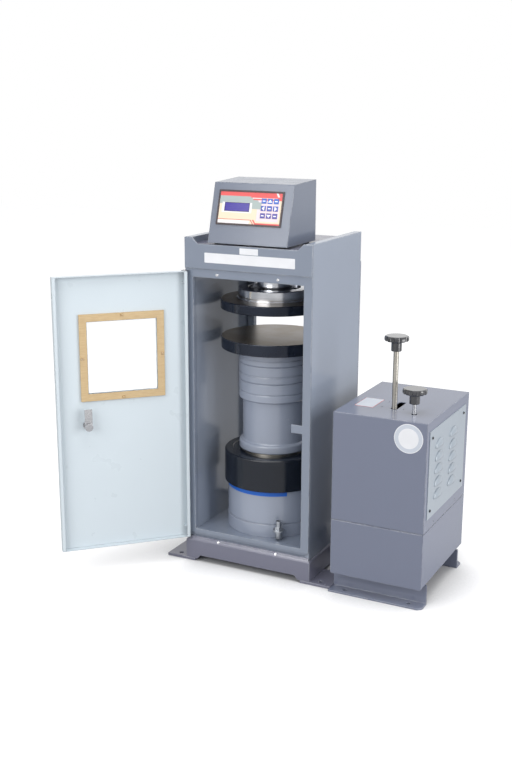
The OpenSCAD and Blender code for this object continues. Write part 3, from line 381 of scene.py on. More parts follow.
# %% Moulded plastic and rubber
def moulded(name, base, rough=0.42, coat=0.0):
    """Plastic or rubber with a fine grain and a little handling."""
    material, tree, shader = new_material(name)
    place = add_node(tree, "TexCoord").outputs["Object"]
    smear = noise(tree, place, 35.0, 4.0)
    worn = tuple(min(1.0, 1.25 * c + 0.02) for c in base)
    handled = map_range(tree, smear, 0.45, 0.75, 0.0, 0.6)
    tree.links.new(mix_colour(tree, handled, (*base, 1), (*worn, 1)), shader.inputs["Base Color"])
    gloss = map_range(tree, smear, 0.3, 0.7, max(0.03, rough - 0.08), rough + 0.08)
    tree.links.new(gloss, shader.inputs["Roughness"])
    shader.inputs["Coat Weight"].default_value = coat
    edge = place_group(tree, edge_group, Radius=0.0008, Wear=0.0)
    set_height(tree, shader, noise(tree, place, 1500.0, 1.0), 0.4, 0.00008, edge.outputs["Normal"])
    print("moulded", name, base, "rough", rough)
    return material


# %% [markdown]
# ## Finishes of this machine
# The sheet metal is a glossy blue-grey enamel. The base and the pack are a
# shade darker and more violet, the turned column is enamelled too, and the
# door is nearly white. One paint for all would be simpler, but the pieces were
# sprayed at different times and differ by a shade. The crosshead gets the
# darker base paint as painted shade of its shadowed underside.

# %% Paints
frame_enamel = enamel("frame enamel", (0.205, 0.238, 0.302), rough=0.20, mottle=0.010, wear_and_highlight=0.50)
plate_enamel = enamel("plate enamel", (0.265, 0.303, 0.375), rough=0.16, mottle=0.010, wear_and_highlight=0.50)
pack_enamel = enamel("pack enamel", (0.142, 0.162, 0.232), rough=0.18, mottle=0.010, wear_and_highlight=0.35)
panel_enamel = enamel("panel enamel", (0.290, 0.335, 0.385), rough=0.24, mottle=0.010, wear_and_highlight=0.30,
                      radius=0.0008)
base_enamel_and_crosshead_shade = enamel("base enamel and crosshead shade", (0.155, 0.158, 0.215), rough=0.24, mottle=0.012, wear_and_highlight=0.55)
column_enamel = enamel("column enamel", (0.300, 0.335, 0.415), rough=0.24, mottle=0.015, wear_and_highlight=0.25,
                       dimples=300.0)
case_enamel = enamel("indicator enamel", (0.148, 0.170, 0.222), rough=0.18, mottle=0.010, wear_and_highlight=0.50,
                     index=1.5)
door_enamel = enamel("door enamel", (0.560, 0.625, 0.668), rough=0.30, mottle=0.004, wear_and_highlight=0.05,
                     rubbed_and_highlight_tone=(0.74, 0.78, 0.81, 1), index=1.5)
black_enamel = enamel("black enamel", (0.004, 0.007, 0.014), rough=0.22, mottle=0.03, wear_and_highlight=0.30,
                      rubbed_and_highlight_tone=(0.16, 0.17, 0.19, 1), index=1.45)
motor_enamel = enamel("motor enamel", (0.05, 0.09, 0.15), rough=0.35)
cast_iron = enamel("cast iron", (0.04, 0.04, 0.045), rough=0.60, dimples=240.0, depth=0.0003)

# %% [markdown]
# The bare metals and the plastics follow. Each metal runs between a light and
# a dark tone. The small pieces aren't on the load axis, so their rings are
# coarse and read as the marks of drawing and plating. The ram is chrome, but
# it gets the darker drawn steel as painted shade where it shows in the gap
# above the gland. The knobs are polished, so they get a coat.

# %% Metals and plastics
ground_steel = turned_steel("ground steel", (0.80, 0.81, 0.84), (0.52, 0.54, 0.58), rough=(0.10, 0.26))
plated_steel = turned_steel("plated steel", (0.55, 0.55, 0.56), (0.34, 0.35, 0.37), rough=(0.16, 0.30),
                            rings=300.0)
drawn_steel_and_ram_shade = turned_steel("drawn steel and ram shade", (0.46, 0.44, 0.40), (0.34, 0.32, 0.28), rough=(0.26, 0.38),
                           rings=300.0)
zinc_plate = turned_steel("zinc plate", (0.46, 0.48, 0.51), (0.33, 0.35, 0.38), rough=(0.34, 0.48),
                          rings=300.0)
brass = turned_steel("brass", (0.62, 0.46, 0.26), (0.48, 0.34, 0.18), rough=(0.28, 0.40), rings=300.0)
bronze = turned_steel("bearing bronze", (0.62, 0.44, 0.22), (0.42, 0.28, 0.13), rough=(0.22, 0.40))
aluminium = turned_steel("milled aluminium", (0.74, 0.75, 0.76), (0.58, 0.59, 0.60), rough=(0.25, 0.42))
black_plastic = moulded("black plastic", (0.012, 0.013, 0.018), rough=0.16, coat=1.0)
bezel_plastic = moulded("bezel plastic", (0.022, 0.007, 0.010), rough=0.30)
black_rubber = moulded("black rubber", (0.010, 0.010, 0.010), rough=0.65)

# %% [markdown]
# A platen is one forging with two finishes. Its faces are ground and have
# tarnished to a warm brown, and its rim keeps the blue-black of the oil it was
# hardened in. The faces could be given a slot of their own, but the CAD mesh
# is left alone, so the material looks at the normal: whatever points up or
# down is a face, and the rest is rim.

# %% Platen steel
def make_platen_material():
    """Ground brown where |normal z| is over about 0.9, oil-blackened elsewhere."""
    material, tree, shader = new_material("platen steel")
    cut = place_group(tree, turned_group, Rings=900.0)
    edge = place_group(tree, edge_group, Radius=0.0012, Wear=0.5)
    flat = add_node(tree, "NewGeometry")
    upright = math_node(tree, "ABSOLUTE", split(tree, flat.outputs["Normal"])[2])
    face = map_range(tree, upright, 0.80, 0.95)
    stained = map_range(tree, cut.outputs["Smear"], 0.38, 0.62)
    ground = mix_colour(tree, stained, (0.215, 0.190, 0.175, 1), (0.160, 0.125, 0.080, 1))
    ringed = mix_colour(tree, math_node(tree, "MULTIPLY", cut.outputs["Ring"], 0.4), ground,
                        (0.34, 0.31, 0.29, 1))
    rim = mix_colour(tree, cut.outputs["Smear"], (0.004, 0.008, 0.018, 1), (0.016, 0.022, 0.038, 1))
    tone = mix_colour(tree, face, rim, ringed)
    bright = mix_colour(tree, edge.outputs["Edge"], tone, (0.60, 0.61, 0.63, 1))
    tree.links.new(bright, shader.inputs["Base Color"])
    tree.links.new(map_range(tree, face, 0.0, 1.0, 0.16, 0.36), shader.inputs["Roughness"])
    tree.links.new(map_range(tree, face, 0.0, 1.0, 0.35, 1.0), shader.inputs["Metallic"])
    set_height(tree, shader, cut.outputs["Ring"], 0.6, 0.00003, edge.outputs["Normal"])
    return material


platen_steel = make_platen_material()
print("made", platen_steel.name, "with", len(platen_steel.node_tree.nodes), "nodes")

# %% [markdown]
# The window's frame is cut from pressed board. A picture of wood would repeat
# on it. Its fibres run level here, so a noise is squeezed along z, where the
# tone then changes ten times as fast as sideways, and the sawn edges are
# darker.

# %% Pressed board
def make_board_material():
    """Tone = noise of the place times (40, 40, 420), over two board colours."""
    material, tree, shader = new_material("window board")
    place = add_node(tree, "TexCoord").outputs["Object"]
    x, y, z = split(tree, place)
    drawn = add_node(tree, "CombineXYZ")
    for socket, value, gain in zip(drawn.inputs, (x, y, z), (40.0, 40.0, 420.0)):
        tree.links.new(math_node(tree, "MULTIPLY", value, gain), socket)
    fibre = noise(tree, drawn.outputs[0], 1.0, 4.0)
    tone = mix_colour(tree, map_range(tree, fibre, 0.35, 0.65), (0.47, 0.335, 0.18, 1),
                      (0.535, 0.40, 0.225, 1))
    edge = place_group(tree, edge_group, Radius=0.0012, Wear=1.0)
    sawn = mix_colour(tree, edge.outputs["Edge"], tone, (0.42, 0.20, 0.07, 1))
    tree.links.new(sawn, shader.inputs["Base Color"])
    tree.links.new(map_range(tree, fibre, 0.3, 0.7, 0.50, 0.66), shader.inputs["Roughness"])
    set_height(tree, shader, fibre, 0.5, 0.0002, edge.outputs["Normal"])
    return material


board_laminate = make_board_material()
print("made", board_laminate.name, "with", len(board_laminate.node_tree.nodes), "nodes")

# %% [markdown]
# The pane is clear sheet. It could be made see-through with alpha, but then it
# would have no gloss. Most light has to pass straight through it, so it is
# glass with an index close to that of air, and a plain roughness.

# %% Clear pane
def make_pane_material():
    """Clear plastic: full transmission with a trace of green-blue."""
    material, tree, shader = new_material("clear pane")
    place = add_node(tree, "TexCoord").outputs["Object"]
    haze = map_range(tree, noise(tree, place, 9.0, 4.0), 0.4, 0.7)
    tint = mix_colour(tree, haze, (0.975, 0.985, 0.99, 1), (0.955, 0.970, 0.975, 1))
    tree.links.new(tint, shader.inputs["Base Color"])
    shader.inputs["Transmission Weight"].default_value = 1.0
    shader.inputs["Roughness"].default_value = 0.02
    shader.inputs["IOR"].default_value = 1.10
    return material


clear_pane = make_pane_material()
print("made", clear_pane.name, "with", len(clear_pane.node_tree.nodes), "nodes")

# %% [markdown]
# ## Dressing the pieces
# Each CAD node now gets the finish of the real piece, but the crosshead and
# the ram get darker finishes as painted shade. A list of pieces under each
# finish is shorter than a line for each piece, and shows which pieces share a
# pot of paint. The nodes keep their shape and place.

# %% Dress the CAD nodes
FINISH_OF = {
    frame_enamel: ["base_bolster", "front_fascia", "door_frame", "rear_frame"],
    plate_enamel: ["left_side_plate", "right_side_plate"],
    # The crosshead wears the darker base paint as painted shade of its shadowed underside.
    base_enamel_and_crosshead_shade: ["crosshead", "base_skirt", "foot_pads"],
    column_enamel: ["cylinder_body", "pedestal", "bottom_collar", "middle_collar", "top_collar"],
    case_enamel: ["indicator_case"],
    pack_enamel: ["pack_tank", "tank_lid", "pack_cover", "pack_feet"],
    panel_enamel: ["louvre_panel"],
    door_enamel: ["door_panel", "door_hinge_leaves"],
    black_enamel: ["gland_ring"],
    platen_steel: ["lower_platen", "upper_platen"],
    ground_steel: ["spindle", "seat_ring"],
    plated_steel: ["hinge_fixed_leaves", "lock_body", "lock_cam", "release_stem", "shaft_coupling"],
    zinc_plate: ["hose_ports"],
    # The ram is chrome; the darker drawn steel on it is painted shade in the gap above the gland.
    drawn_steel_and_ram_shade: ["control_lever", "ram"],
    brass: ["window_screws"],
    bronze: ["seat_liner"],
    aluminium: ["valve_block"],
    motor_enamel: ["pump_motor"],
    cast_iron: ["hydraulic_pump"],
    black_plastic: ["cable_gland", "lever_knob", "release_knob"],
    bezel_plastic: ["indicator_bezel"],
    black_rubber: ["indicator_feet", "piston_seal"],
    board_laminate: ["window_frame"],
    clear_pane: ["window_pane"],
}


def dress(name, finish):
    """Puts the finish on the CAD node of that name."""
    nodes[name].data.materials.clear()
    nodes[name].data.materials.append(finish)


for finish, names in FINISH_OF.items():
    for name in names:
        dress(name, finish)
print("dressed", sum(len(names) for names in FINISH_OF.values()), "of", len(nodes), "nodes")

# %% [markdown]
# The casing is screwed together with plated screws, but the four that hold
# the louvred panel are blackened. All of them are one CAD node with one slot,
# so the finish looks at the place: the panel lies further right than 0.5 m.

# %% Casing screws
PANEL_SIDE = 0.5


def make_screw_material():
    """Bright for x < PANEL_SIDE, black beyond it."""
    material, tree, shader = new_material("casing screws")
    place = add_node(tree, "TexCoord").outputs["Object"]
    far = map_range(tree, split(tree, place)[0], PANEL_SIDE - 0.001, PANEL_SIDE + 0.001)
    edge = place_group(tree, edge_group, Radius=0.0006, Wear=0.4)
    tone = mix_colour(tree, far, (0.80, 0.80, 0.81, 1), (0.012, 0.012, 0.014, 1))
    colour = mix_colour(tree, edge.outputs["Edge"], tone, (0.55, 0.55, 0.56, 1))
    tree.links.new(colour, shader.inputs["Base Color"])
    tree.links.new(map_range(tree, far, 0.0, 1.0, 1.0, 0.4), shader.inputs["Metallic"])
    gloss = map_range(tree, noise(tree, place, 300.0), 0.3, 0.7, 0.18, 0.32)
    tree.links.new(gloss, shader.inputs["Roughness"])
    tree.links.new(edge.outputs["Normal"], shader.inputs["Normal"])
    return material


dress("casing_screws", make_screw_material())
print("screws dressed, black beyond x =", PANEL_SIDE, "m")

# %% [markdown]
# ## The indicator's printed film
# The film, the display and the keys lie on a face that leans back by 46 mm
# over a height of 166.5 mm. A UV map would do for their print, but Object
# coordinates are there already. A point on the face has a sideways place x and
# a distance up the slope, s = (y - y0) sin a + (z - z0) cos a, where a is the
# lean and y0 and z0 are at the lower edge.

# %% Places on the sloping face
FACE_BACK, FACE_RISE = 46.0, 166.5
FACE = math.atan2(FACE_BACK, FACE_RISE)
FACE_Y0, FACE_Z0 = -0.180, 0.9765


def face_places(tree):
    """The sockets (x, s) of a point on the sloping face, in metres."""
    x, y, z = split(tree, add_node(tree, "TexCoord").outputs["Object"])
    back = math_node(tree, "MULTIPLY", math_node(tree, "SUBTRACT", y, FACE_Y0), math.sin(FACE))
    up = math_node(tree, "MULTIPLY", math_node(tree, "SUBTRACT", z, FACE_Z0), math.cos(FACE))
    return x, math_node(tree, "ADD", back, up)


print("the face leans back by", round(math.degrees(FACE), 2), "degrees")

# %% [markdown]
# The film is printed from behind in a few flat colours. With u = share of its
# width and v = share of its height from the top, the print is a stack of
# plain fields: cream ground, grey field, pale field and coral stripes. A field
# is 1 inside a rectangle and 0 outside, and each covers the ones before it.

# %% Membrane film
FILM_X0, FILM_W, FILM_S0, FILM_H = -0.100, 0.1925, 0.0585, 0.0885
CORAL, CREAM, WHITE = (0.70, 0.085, 0.085, 1), (0.76, 0.63, 0.47, 1), (0.78, 0.75, 0.76, 1)
FIELD, BLUSH, RED = (0.34, 0.40, 0.39, 1), (0.74, 0.62, 0.66, 1), (0.50, 0.035, 0.05, 1)


def band(tree, value, low, high, soft=0.0003):
    """1 where low < value < high, with an edge 2 soft wide."""
    rise = map_range(tree, value, low - soft, low + soft)
    fall = map_range(tree, value, high - soft, high + soft, 1.0, 0.0)
    return math_node(tree, "MULTIPLY", rise, fall)


def patch(tree, u, v, box, soft=0.0003):
    """1 inside the rectangle box = (u0, u1, v0, v1)."""
    return math_node(tree, "MULTIPLY", band(tree, u, box[0], box[1], soft),
                     band(tree, v, box[2], box[3], soft))


def make_film_material():
    """Later fields cover earlier ones; slant moves a field sideways with v."""
    material, tree, shader = new_material("membrane film")
    x, s = face_places(tree)
    u = math_node(tree, "DIVIDE", math_node(tree, "SUBTRACT", x, FILM_X0), FILM_W)
    rise = math_node(tree, "DIVIDE", math_node(tree, "SUBTRACT", s, FILM_S0), FILM_H)
    v = math_node(tree, "SUBTRACT", 1.0, rise)
    fields = [
        (BLUSH, (0.62, 0.97, 0.24, 0.90), 0.0), (FIELD, (0.00, 0.56, 0.12, 0.38), 0.0),
        (FIELD, (0.46, 0.60, 0.12, 0.52), 0.18), (FIELD, (0.56, 0.68, 0.30, 0.52), 0.0),
        (WHITE, (0.045, 0.530, 0.330, 0.655), 0.0), (CORAL, (-0.1, 1.1, -0.10, 0.13), 0.0),
        (CORAL, (0.50, 1.10, 0.10, 0.165), 0.0), (WHITE, (0.53, 1.10, 0.165, 0.190), 0.0),
        (CORAL, (0.54, 1.10, 0.190, 0.235), 0.0), (WHITE, (0.875, 0.905, -0.10, 0.235), 0.25),
        (CORAL, (0.925, 1.10, 0.12, 0.235), 0.0), (RED, (-0.1, 0.52, 0.862, 0.878), 0.0),
        (WHITE, (-0.1, 0.51, 0.895, 1.10), 0.0), (RED, (0.520, 0.535, 0.862, 1.10), 0.35),
        (CORAL, (0.555, 0.580, 0.862, 1.10), 0.35), (CORAL, (0.60, 1.10, 0.955, 1.10), 0.0),
    ]
    colour = CREAM
    for tint, box, slant in fields:
        slide = math_node(tree, "MULTIPLY", math_node(tree, "SUBTRACT", v, box[2]), slant)
        moved = math_node(tree, "SUBTRACT", u, slide)
        colour = mix_colour(tree, patch(tree, moved, v, box, 0.003), colour, tint)
    tree.links.new(colour, shader.inputs["Base Color"])
    place = add_node(tree, "TexCoord").outputs["Object"]
    gloss = map_range(tree, noise(tree, place, 40.0, 4.0), 0.3, 0.7, 0.28, 0.42)
    tree.links.new(gloss, shader.inputs["Roughness"])
    set_height(tree, shader, noise(tree, place, 900.0, 1.0), 0.3, 0.00004)
    print("film printed in", len(fields), "fields")
    return material


dress("membrane_panel", make_film_material())

# %% [markdown]
# The display is switched on but empty: a violet-blue pane with a darker rim
# and the faint rows of its cells. The rows come from the fraction of s times
# the number of rows in a metre, which climbs from 0 to 1 in each row.

# %% Display
DISPLAY_INNER = (-0.0815, -0.0070, 0.0938, 0.1157)
ROWS_PER_METRE = 190.0


def make_display_material():
    """Violet-blue, darker near the rim of the 79 x 25.5 mm pane."""
    material, tree, shader = new_material("display pane")
    x, s = face_places(tree)
    inner = patch(tree, x, s, DISPLAY_INNER, 0.0012)
    counted = math_node(tree, "FRACT", math_node(tree, "MULTIPLY", s, ROWS_PER_METRE))
    rows = band(tree, counted, 0.15, 0.85, 0.08)
    lit = mix_colour(tree, math_node(tree, "MULTIPLY", rows, 0.35), (0.035, 0.020, 0.26, 1),
                     (0.055, 0.036, 0.33, 1))
    tree.links.new(mix_colour(tree, inner, (0.020, 0.010, 0.10, 1), lit), shader.inputs["Base Color"])
    place = add_node(tree, "TexCoord").outputs["Object"]
    gloss = map_range(tree, noise(tree, place, 30.0, 3.0), 0.3, 0.7, 0.14, 0.24)
    tree.links.new(gloss, shader.inputs["Roughness"])
    return material


dress("lcd_window", make_display_material())
print("display face", [round(1000 * (b - a), 1) for a, b in (DISPLAY_INNER[:2], DISPLAY_INNER[2:])], "mm")

# %% [markdown]
# The nine keys carry only plain signs. They could be nine materials, but one
# can work out which key it is on. A key's column and row are i and j, from -1
# to 1. Where |i| + |j| = 1 the key gets an arrow head that points to (i, j):
# with f the distance along that direction and g the distance across it, the
# head is g < 0.85 (0.30 - f) for f > -0.22, in key widths. The others get a
# bar.

# %% Keys
KEYS_X, KEYS_S, KEY_PX, KEY_PY, KEY_W = 0.0567, 0.104, 0.0188, 0.0204, 0.015


def make_key_material():
    """White signs on blue caps, worked out from the key's own column and row."""
    material, tree, shader = new_material("key caps")
    x, s = face_places(tree)
    across = math_node(tree, "DIVIDE", math_node(tree, "SUBTRACT", x, KEYS_X), KEY_PX)
    upward = math_node(tree, "DIVIDE", math_node(tree, "SUBTRACT", s, KEYS_S), KEY_PY)
    column, row = math_node(tree, "ROUND", across), math_node(tree, "ROUND", upward)
    a = math_node(tree, "MULTIPLY", math_node(tree, "SUBTRACT", across, column), KEY_PX / KEY_W)
    b = math_node(tree, "MULTIPLY", math_node(tree, "SUBTRACT", upward, row), KEY_PY / KEY_W)
    steps = math_node(tree, "ADD", math_node(tree, "ABSOLUTE", column), math_node(tree, "ABSOLUTE", row))
    arrow_key = band(tree, steps, 0.6, 1.4, 0.05)
    along = math_node(tree, "ADD", math_node(tree, "MULTIPLY", a, column),
                      math_node(tree, "MULTIPLY", b, row))
    cross = math_node(tree, "SUBTRACT", math_node(tree, "MULTIPLY", a, row),
                      math_node(tree, "MULTIPLY", b, column))
    aside = math_node(tree, "ABSOLUTE", cross)
    taper = math_node(tree, "MULTIPLY", math_node(tree, "SUBTRACT", 0.30, along), 0.85)
    inside = map_range(tree, math_node(tree, "SUBTRACT", taper, aside), -0.02, 0.02)
    head = math_node(tree, "MULTIPLY", inside, map_range(tree, along, -0.24, -0.20))
    bar = patch(tree, a, b, (-0.28, 0.28, -0.09, 0.09), 0.02)
    sign = add_node(tree, "Mix")
    for socket, value in zip((sign.inputs[0], sign.inputs[2], sign.inputs[3]), (arrow_key, bar, head)):
        tree.links.new(value, socket)
    cap = mix_colour(tree, map_range(tree, upward, -0.6, 0.8), (0.070, 0.055, 0.30, 1),
                     (0.035, 0.12, 0.48, 1))
    signed = mix_colour(tree, sign.outputs[0], cap, (0.85, 0.86, 0.90, 1))
    tree.links.new(signed, shader.inputs["Base Color"])
    place = add_node(tree, "TexCoord").outputs["Object"]
    gloss = map_range(tree, noise(tree, place, 60.0, 3.0), 0.3, 0.7, 0.24, 0.38)
    tree.links.new(gloss, shader.inputs["Roughness"])
    edge = place_group(tree, edge_group, Radius=0.0010, Wear=0.0)
    tree.links.new(edge.outputs["Normal"], shader.inputs["Normal"])
    return material


key_caps = make_key_material()
for number in range(1, 10):
    dress("key_%d" % number, key_caps)
print("nodes still to dress:", sorted(name for name in nodes if not nodes[name].data.materials))

# %% [markdown]
# ## Louvred side panel
# Each louvre is pressed out of the sheet as a shallow half dome that stays
# open along its foot, so air gets out and drips stay off. The hoods of the CAD
# panel are plainer and longer than the pressed ones, so the panel is drawn
# again here: a sheet with ten slots, and a thin dome over each slot. First
# come their places, counted from the CAD panel's box.

# %% Places of the louvres
(panel_x0, panel_y0, panel_z0), (panel_x1, panel_y1, panel_z1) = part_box("louvre_panel")
SHEET, HOOD_L, HOOD_H, ROW_PITCH = 0.0015, 0.068, 0.022, 0.0365
COLUMN_STARTS, ROWS_DROP, ROWS = (-0.1105, 0.0145), 0.007, 5
SLOT_HALF, SLOT_RISE = 0.36 * HOOD_L, 0.4 * HOOD_H
HOOD_REACH = panel_x1 - panel_x0 - SHEET
hood_y = 0.5 * (panel_y0 + panel_y1) + np.array(COLUMN_STARTS) + 0.5 * HOOD_L
hood_z = 0.5 * (panel_z0 + panel_z1) - ROWS_DROP + ROW_PITCH * (np.arange(ROWS) - ROWS // 2)
print("louvres at y", np.round(hood_y, 4), "and z", np.round(hood_z, 4), "reach", round(HOOD_REACH, 4))

# %% [markdown]
# The slots could be cut with a Boolean modifier, which leaves long thin faces.
# Instead the sheet is a grid of boxes whose lines run along the slots' edges,
# and the boxes in the slots are left out. A wall is made wherever a kept box
# has a missing neighbour.

# %% Sheet with slots
def slotted_sheet(x0, x1, y_lines, z_lines, slot_columns, slot_rows):
    """Points and quads of a sheet from x0 to x1. Box (i, j) is left out where i is a
    slot column and j is a slot row."""
    ny, nz = len(y_lines), len(z_lines)
    y, z = np.meshgrid(y_lines, z_lines, indexing="ij")
    layers = [np.stack([np.full(y.size, x), y.ravel(), z.ravel()], axis=-1) for x in (x0, x1)]
    solid = np.ones((ny + 1, nz + 1), bool)
    solid[[0, -1], :] = solid[:, [0, -1]] = False
    solid[np.ix_(np.array(slot_columns) + 1, np.array(slot_rows) + 1)] = False
    corner, back = np.arange(ny * nz).reshape(ny, nz), ny * nz
    i, j = np.nonzero(solid[1:-1, 1:-1])
    a, b, c, d = corner[i, j], corner[i + 1, j], corner[i + 1, j + 1], corner[i, j + 1]
    quads = [np.stack([a, d, c, b], axis=-1), np.stack([a, b, c, d], axis=-1) + back]
    for (p, q), (di, dj) in (((a, b), (0, -1)), ((b, c), (1, 0)), ((c, d), (0, 1)), ((d, a), (-1, 0))):
        bare = ~solid[i + 1 + di, j + 1 + dj]
        quads.append(np.stack([p, q, q + back, p + back], axis=-1)[bare])
    return np.vstack(layers), np.vstack(quads)


y_lines = np.sort(np.concatenate([[panel_y0, panel_y1], hood_y - SLOT_HALF, hood_y + SLOT_HALF]))
z_lines = np.sort(np.concatenate([[panel_z0, panel_z1], hood_z, hood_z + SLOT_RISE]))
sheet_points, sheet_quads = slotted_sheet(panel_x0, panel_x0 + SHEET, y_lines, z_lines,
                                          range(1, 2 * len(COLUMN_STARTS), 2), range(1, 2 * ROWS, 2))
sheet = bpy.data.meshes.new("louvred_sheet")
sheet.from_pydata(sheet_points.tolist(), [], sheet_quads.tolist())
sheet.materials.append(panel_enamel)
sheet_piece = bpy.data.objects.new("louvred_sheet", sheet)
bpy.context.scene.collection.objects.link(sheet_piece)
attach(sheet_piece, "load_frame")
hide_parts("louvre_panel")
print("sheet of", len(sheet_quads), "quads with", 2 * ROWS, "slots")

# %% [markdown]
# A hood could be cut from a stretched sphere. As a formula it is a closed
# shell in one go: along the louvre, a runs from 1 to -1, and round it, b runs
# from where the dome leaves the sheet, at its top, to its open foot, outside
# first and then back inside.

# %% Pressed hoods
HOOD_WALL, HOOD_END = 0.0012, 1.53


def hood_shell(y0, z0, count=41, turns=10):
    """w = sqrt(1 - a^2); x = reach w sin b and z = height w cos b on the outside, and on
    the inside the same with the wall taken off the reach and the height."""
    a = np.sin(np.linspace(HOOD_END, -HOOD_END, count))[:, None]
    b = np.linspace(0.0, 0.5 * math.pi, turns)[None, :]
    w = np.sqrt(1.0 - a * a)
    rings = []
    for wall, turn in ((0.0, b), (HOOD_WALL, b[:, ::-1])):
        reach, height = (HOOD_REACH - wall) * w, (HOOD_H - wall) * w
        along = np.broadcast_to(y0 + 0.5 * HOOD_L * a, (count, turns))
        out = panel_x0 + SHEET + reach * np.sin(turn)
        rings.append(np.stack([out, along, z0 + height * np.cos(turn)], axis=-1))
    return np.concatenate(rings, axis=1)


for column in range(len(COLUMN_STARTS)):
    for row in range(ROWS):
        ring_piece("louvre_%d_%d" % (column + 1, row + 1), hood_shell(hood_y[column], hood_z[row]),
                   panel_enamel, "load_frame")
print("hoods", HOOD_L, "x", HOOD_H, "m")

# %% [markdown]
# ## Labels and tape
# The labels are plain vinyl films, 0.2 mm thick. A flat decal would flicker
# against the paint, so each is a thin solid just clear of it. A
# label's outline is a rectangle with rounded corners: the point at angle t is
# the centre of the nearest corner arc plus r (cos t, sin t). Four rings make
# it: middle, shoulder, edge and foot.

# %% A label's shape
LABEL_THICK, LABEL_POINTS = 0.0002, 96


def sticker(name, centre, half, corner, frame_axes, material, lift):
    """Rounded rectangle about centre; frame_axes are its right, up and outward unit vectors."""
    t = (np.arange(LABEL_POINTS) + 0.5) * 2 * math.pi / LABEL_POINTS
    right, up, out = (np.array(axis, float) for axis in frame_axes)
    round_part = np.stack([np.cos(t), np.sin(t)], axis=1)
    core = np.sign(round_part) * (np.array(half) - corner)
    rings = []
    for size, radius, height in ((0.5, corner, LABEL_THICK), (1.0, corner - 0.00015, LABEL_THICK),
                                 (1.0, corner, 0.5 * LABEL_THICK), (1.0, corner, 0.0)):
        flat = size * (core + radius * round_part)
        rings.append(flat[:, :1] * right + flat[:, 1:] * up + np.array(centre) + (lift + height) * out)
    ring_piece(name, np.array(rings), material, "load_frame", smooth=False)


print("labels are", 1000 * LABEL_THICK, "mm thick, with", LABEL_POINTS, "points round the edge")

# %% [markdown]
# The vinyl has one plain colour. A single flat value would look cut out of
# paper, so the tone and the gloss drift slowly over it, and a faint grain
# gives it a surface.

# %% Vinyl film
def film(name, base, rough=0.35):
    """Vinyl film: a plain colour, a faint grain and a slow drift of gloss."""
    material, tree, shader = new_material(name)
    place = add_node(tree, "TexCoord").outputs["Object"]
    drift = map_range(tree, noise(tree, place, 18.0, 4.0), 0.35, 0.65)
    darker = tuple(0.94 * c for c in base)
    tree.links.new(mix_colour(tree, drift, (*base, 1), (*darker, 1)), shader.inputs["Base Color"])
    tree.links.new(map_range(tree, drift, 0.0, 1.0, rough - 0.05, rough + 0.07), shader.inputs["Roughness"])
    set_height(tree, shader, noise(tree, place, 1400.0, 1.0), 0.3, 0.00003)
    print("film", name, base)
    return material


white_film = film("white film", (0.78, 0.79, 0.82))
pale_film = film("pale film", (0.55, 0.59, 0.66))
red_film = film("red film", (0.60, 0.07, 0.07))
blue_film = film("blue tape", (0.005, 0.110, 0.52), rough=0.40)

# %% [markdown]
# Two labels go on the front of the crosshead, a round badge of three layers
# on the pack's front and a bordered plate on its top. A layer lies on the one
# below it, so each has its own lift. A table of places and half sizes keeps
# them together.

# %% Labels in their places
FRONT = ((1, 0, 0), (0, 0, 1), (0, -1, 0))
TOP = ((1, 0, 0), (0, 1, 0), (0, 0, 1))
for name, centre, half, corner, axes, material, lift in (
        ("long_label", (0.0068, -0.180, 0.9336), (0.1418, 0.0141), 0.0020, FRONT, white_film, 0.00004),
        ("short_label", (0.0063, -0.180, 0.9580), (0.0290, 0.0087), 0.0015, FRONT, white_film, 0.00004),
        ("badge_rim", (0.496, -0.195, 0.490), (0.041, 0.041), 0.0410, FRONT, white_film, 0.00004),
        ("badge_ring", (0.496, -0.195, 0.490), (0.0390, 0.0390), 0.0390, FRONT, pale_film, 0.00026),
        ("badge_face", (0.496, -0.195, 0.490), (0.0285, 0.0285), 0.0285, FRONT, white_film, 0.00048),
        ("plate_border", (0.3315, -0.062, 0.538), (0.0275, 0.0460), 0.0020, TOP, red_film, 0.00004),
        ("plate_face", (0.3315, -0.062, 0.538), (0.0262, 0.0447), 0.0015, TOP, pale_film, 0.00026)):
    sticker(name, centre, half, corner, axes, material, lift)

# %% [markdown]
# A strip of blue tape runs round the front of the cylinder, just under the
# black ring. It could be a painted band, but the real one is a film with a
# free end. Its section is a thin rectangle, swept from -175 to -47 degrees.
# The free end has lifted a little, so its radius grows over the last ten
# degrees.

# %% Tape on the cylinder
TAPE_FROM, TAPE_TO, TAPE_FREE, TAPE_LIFT = -175.0, -47.0, 10.0, 0.0006
TAPE_IN, TAPE_OUT, TAPE_Z0, TAPE_Z1 = 0.13804, 0.13820, 0.2285, 0.2435
angle = np.radians(np.linspace(TAPE_FROM, TAPE_TO, 97))
loose = np.clip((np.degrees(angle) - TAPE_TO + TAPE_FREE) / TAPE_FREE, 0.0, 1.0)
lifted = TAPE_LIFT * loose ** 2
section = np.array([(TAPE_IN, TAPE_Z0), (TAPE_OUT, TAPE_Z0), (TAPE_OUT, TAPE_Z1), (TAPE_IN, TAPE_Z1)])
radius = section[None, :, 0] + lifted[:, None]
height = np.broadcast_to(section[None, :, 1], radius.shape)
tape_points = np.stack([radius * np.cos(angle)[:, None], radius * np.sin(angle)[:, None], height], axis=-1)
ring_piece("blue_tape", tape_points, blue_film, "load_frame", smooth=False)

# %% [markdown]
# ## Floor and light
# The machine stands in a white studio. The floor is a plain pale surface that
# keeps the shadows. More lamp light would make it white, but the machine would
# get too bright. So the floor adds its own white only for rays that look at
# it, from the camera, through glass or off gloss, and less of it where the
# floor is shut in under the machine: a painted shade under and beside it.

# %% Floor
FLOOR_GLOW, GLOW_IN_GLOSS, FLOOR_HALF = 0.78, 0.35, 9.0


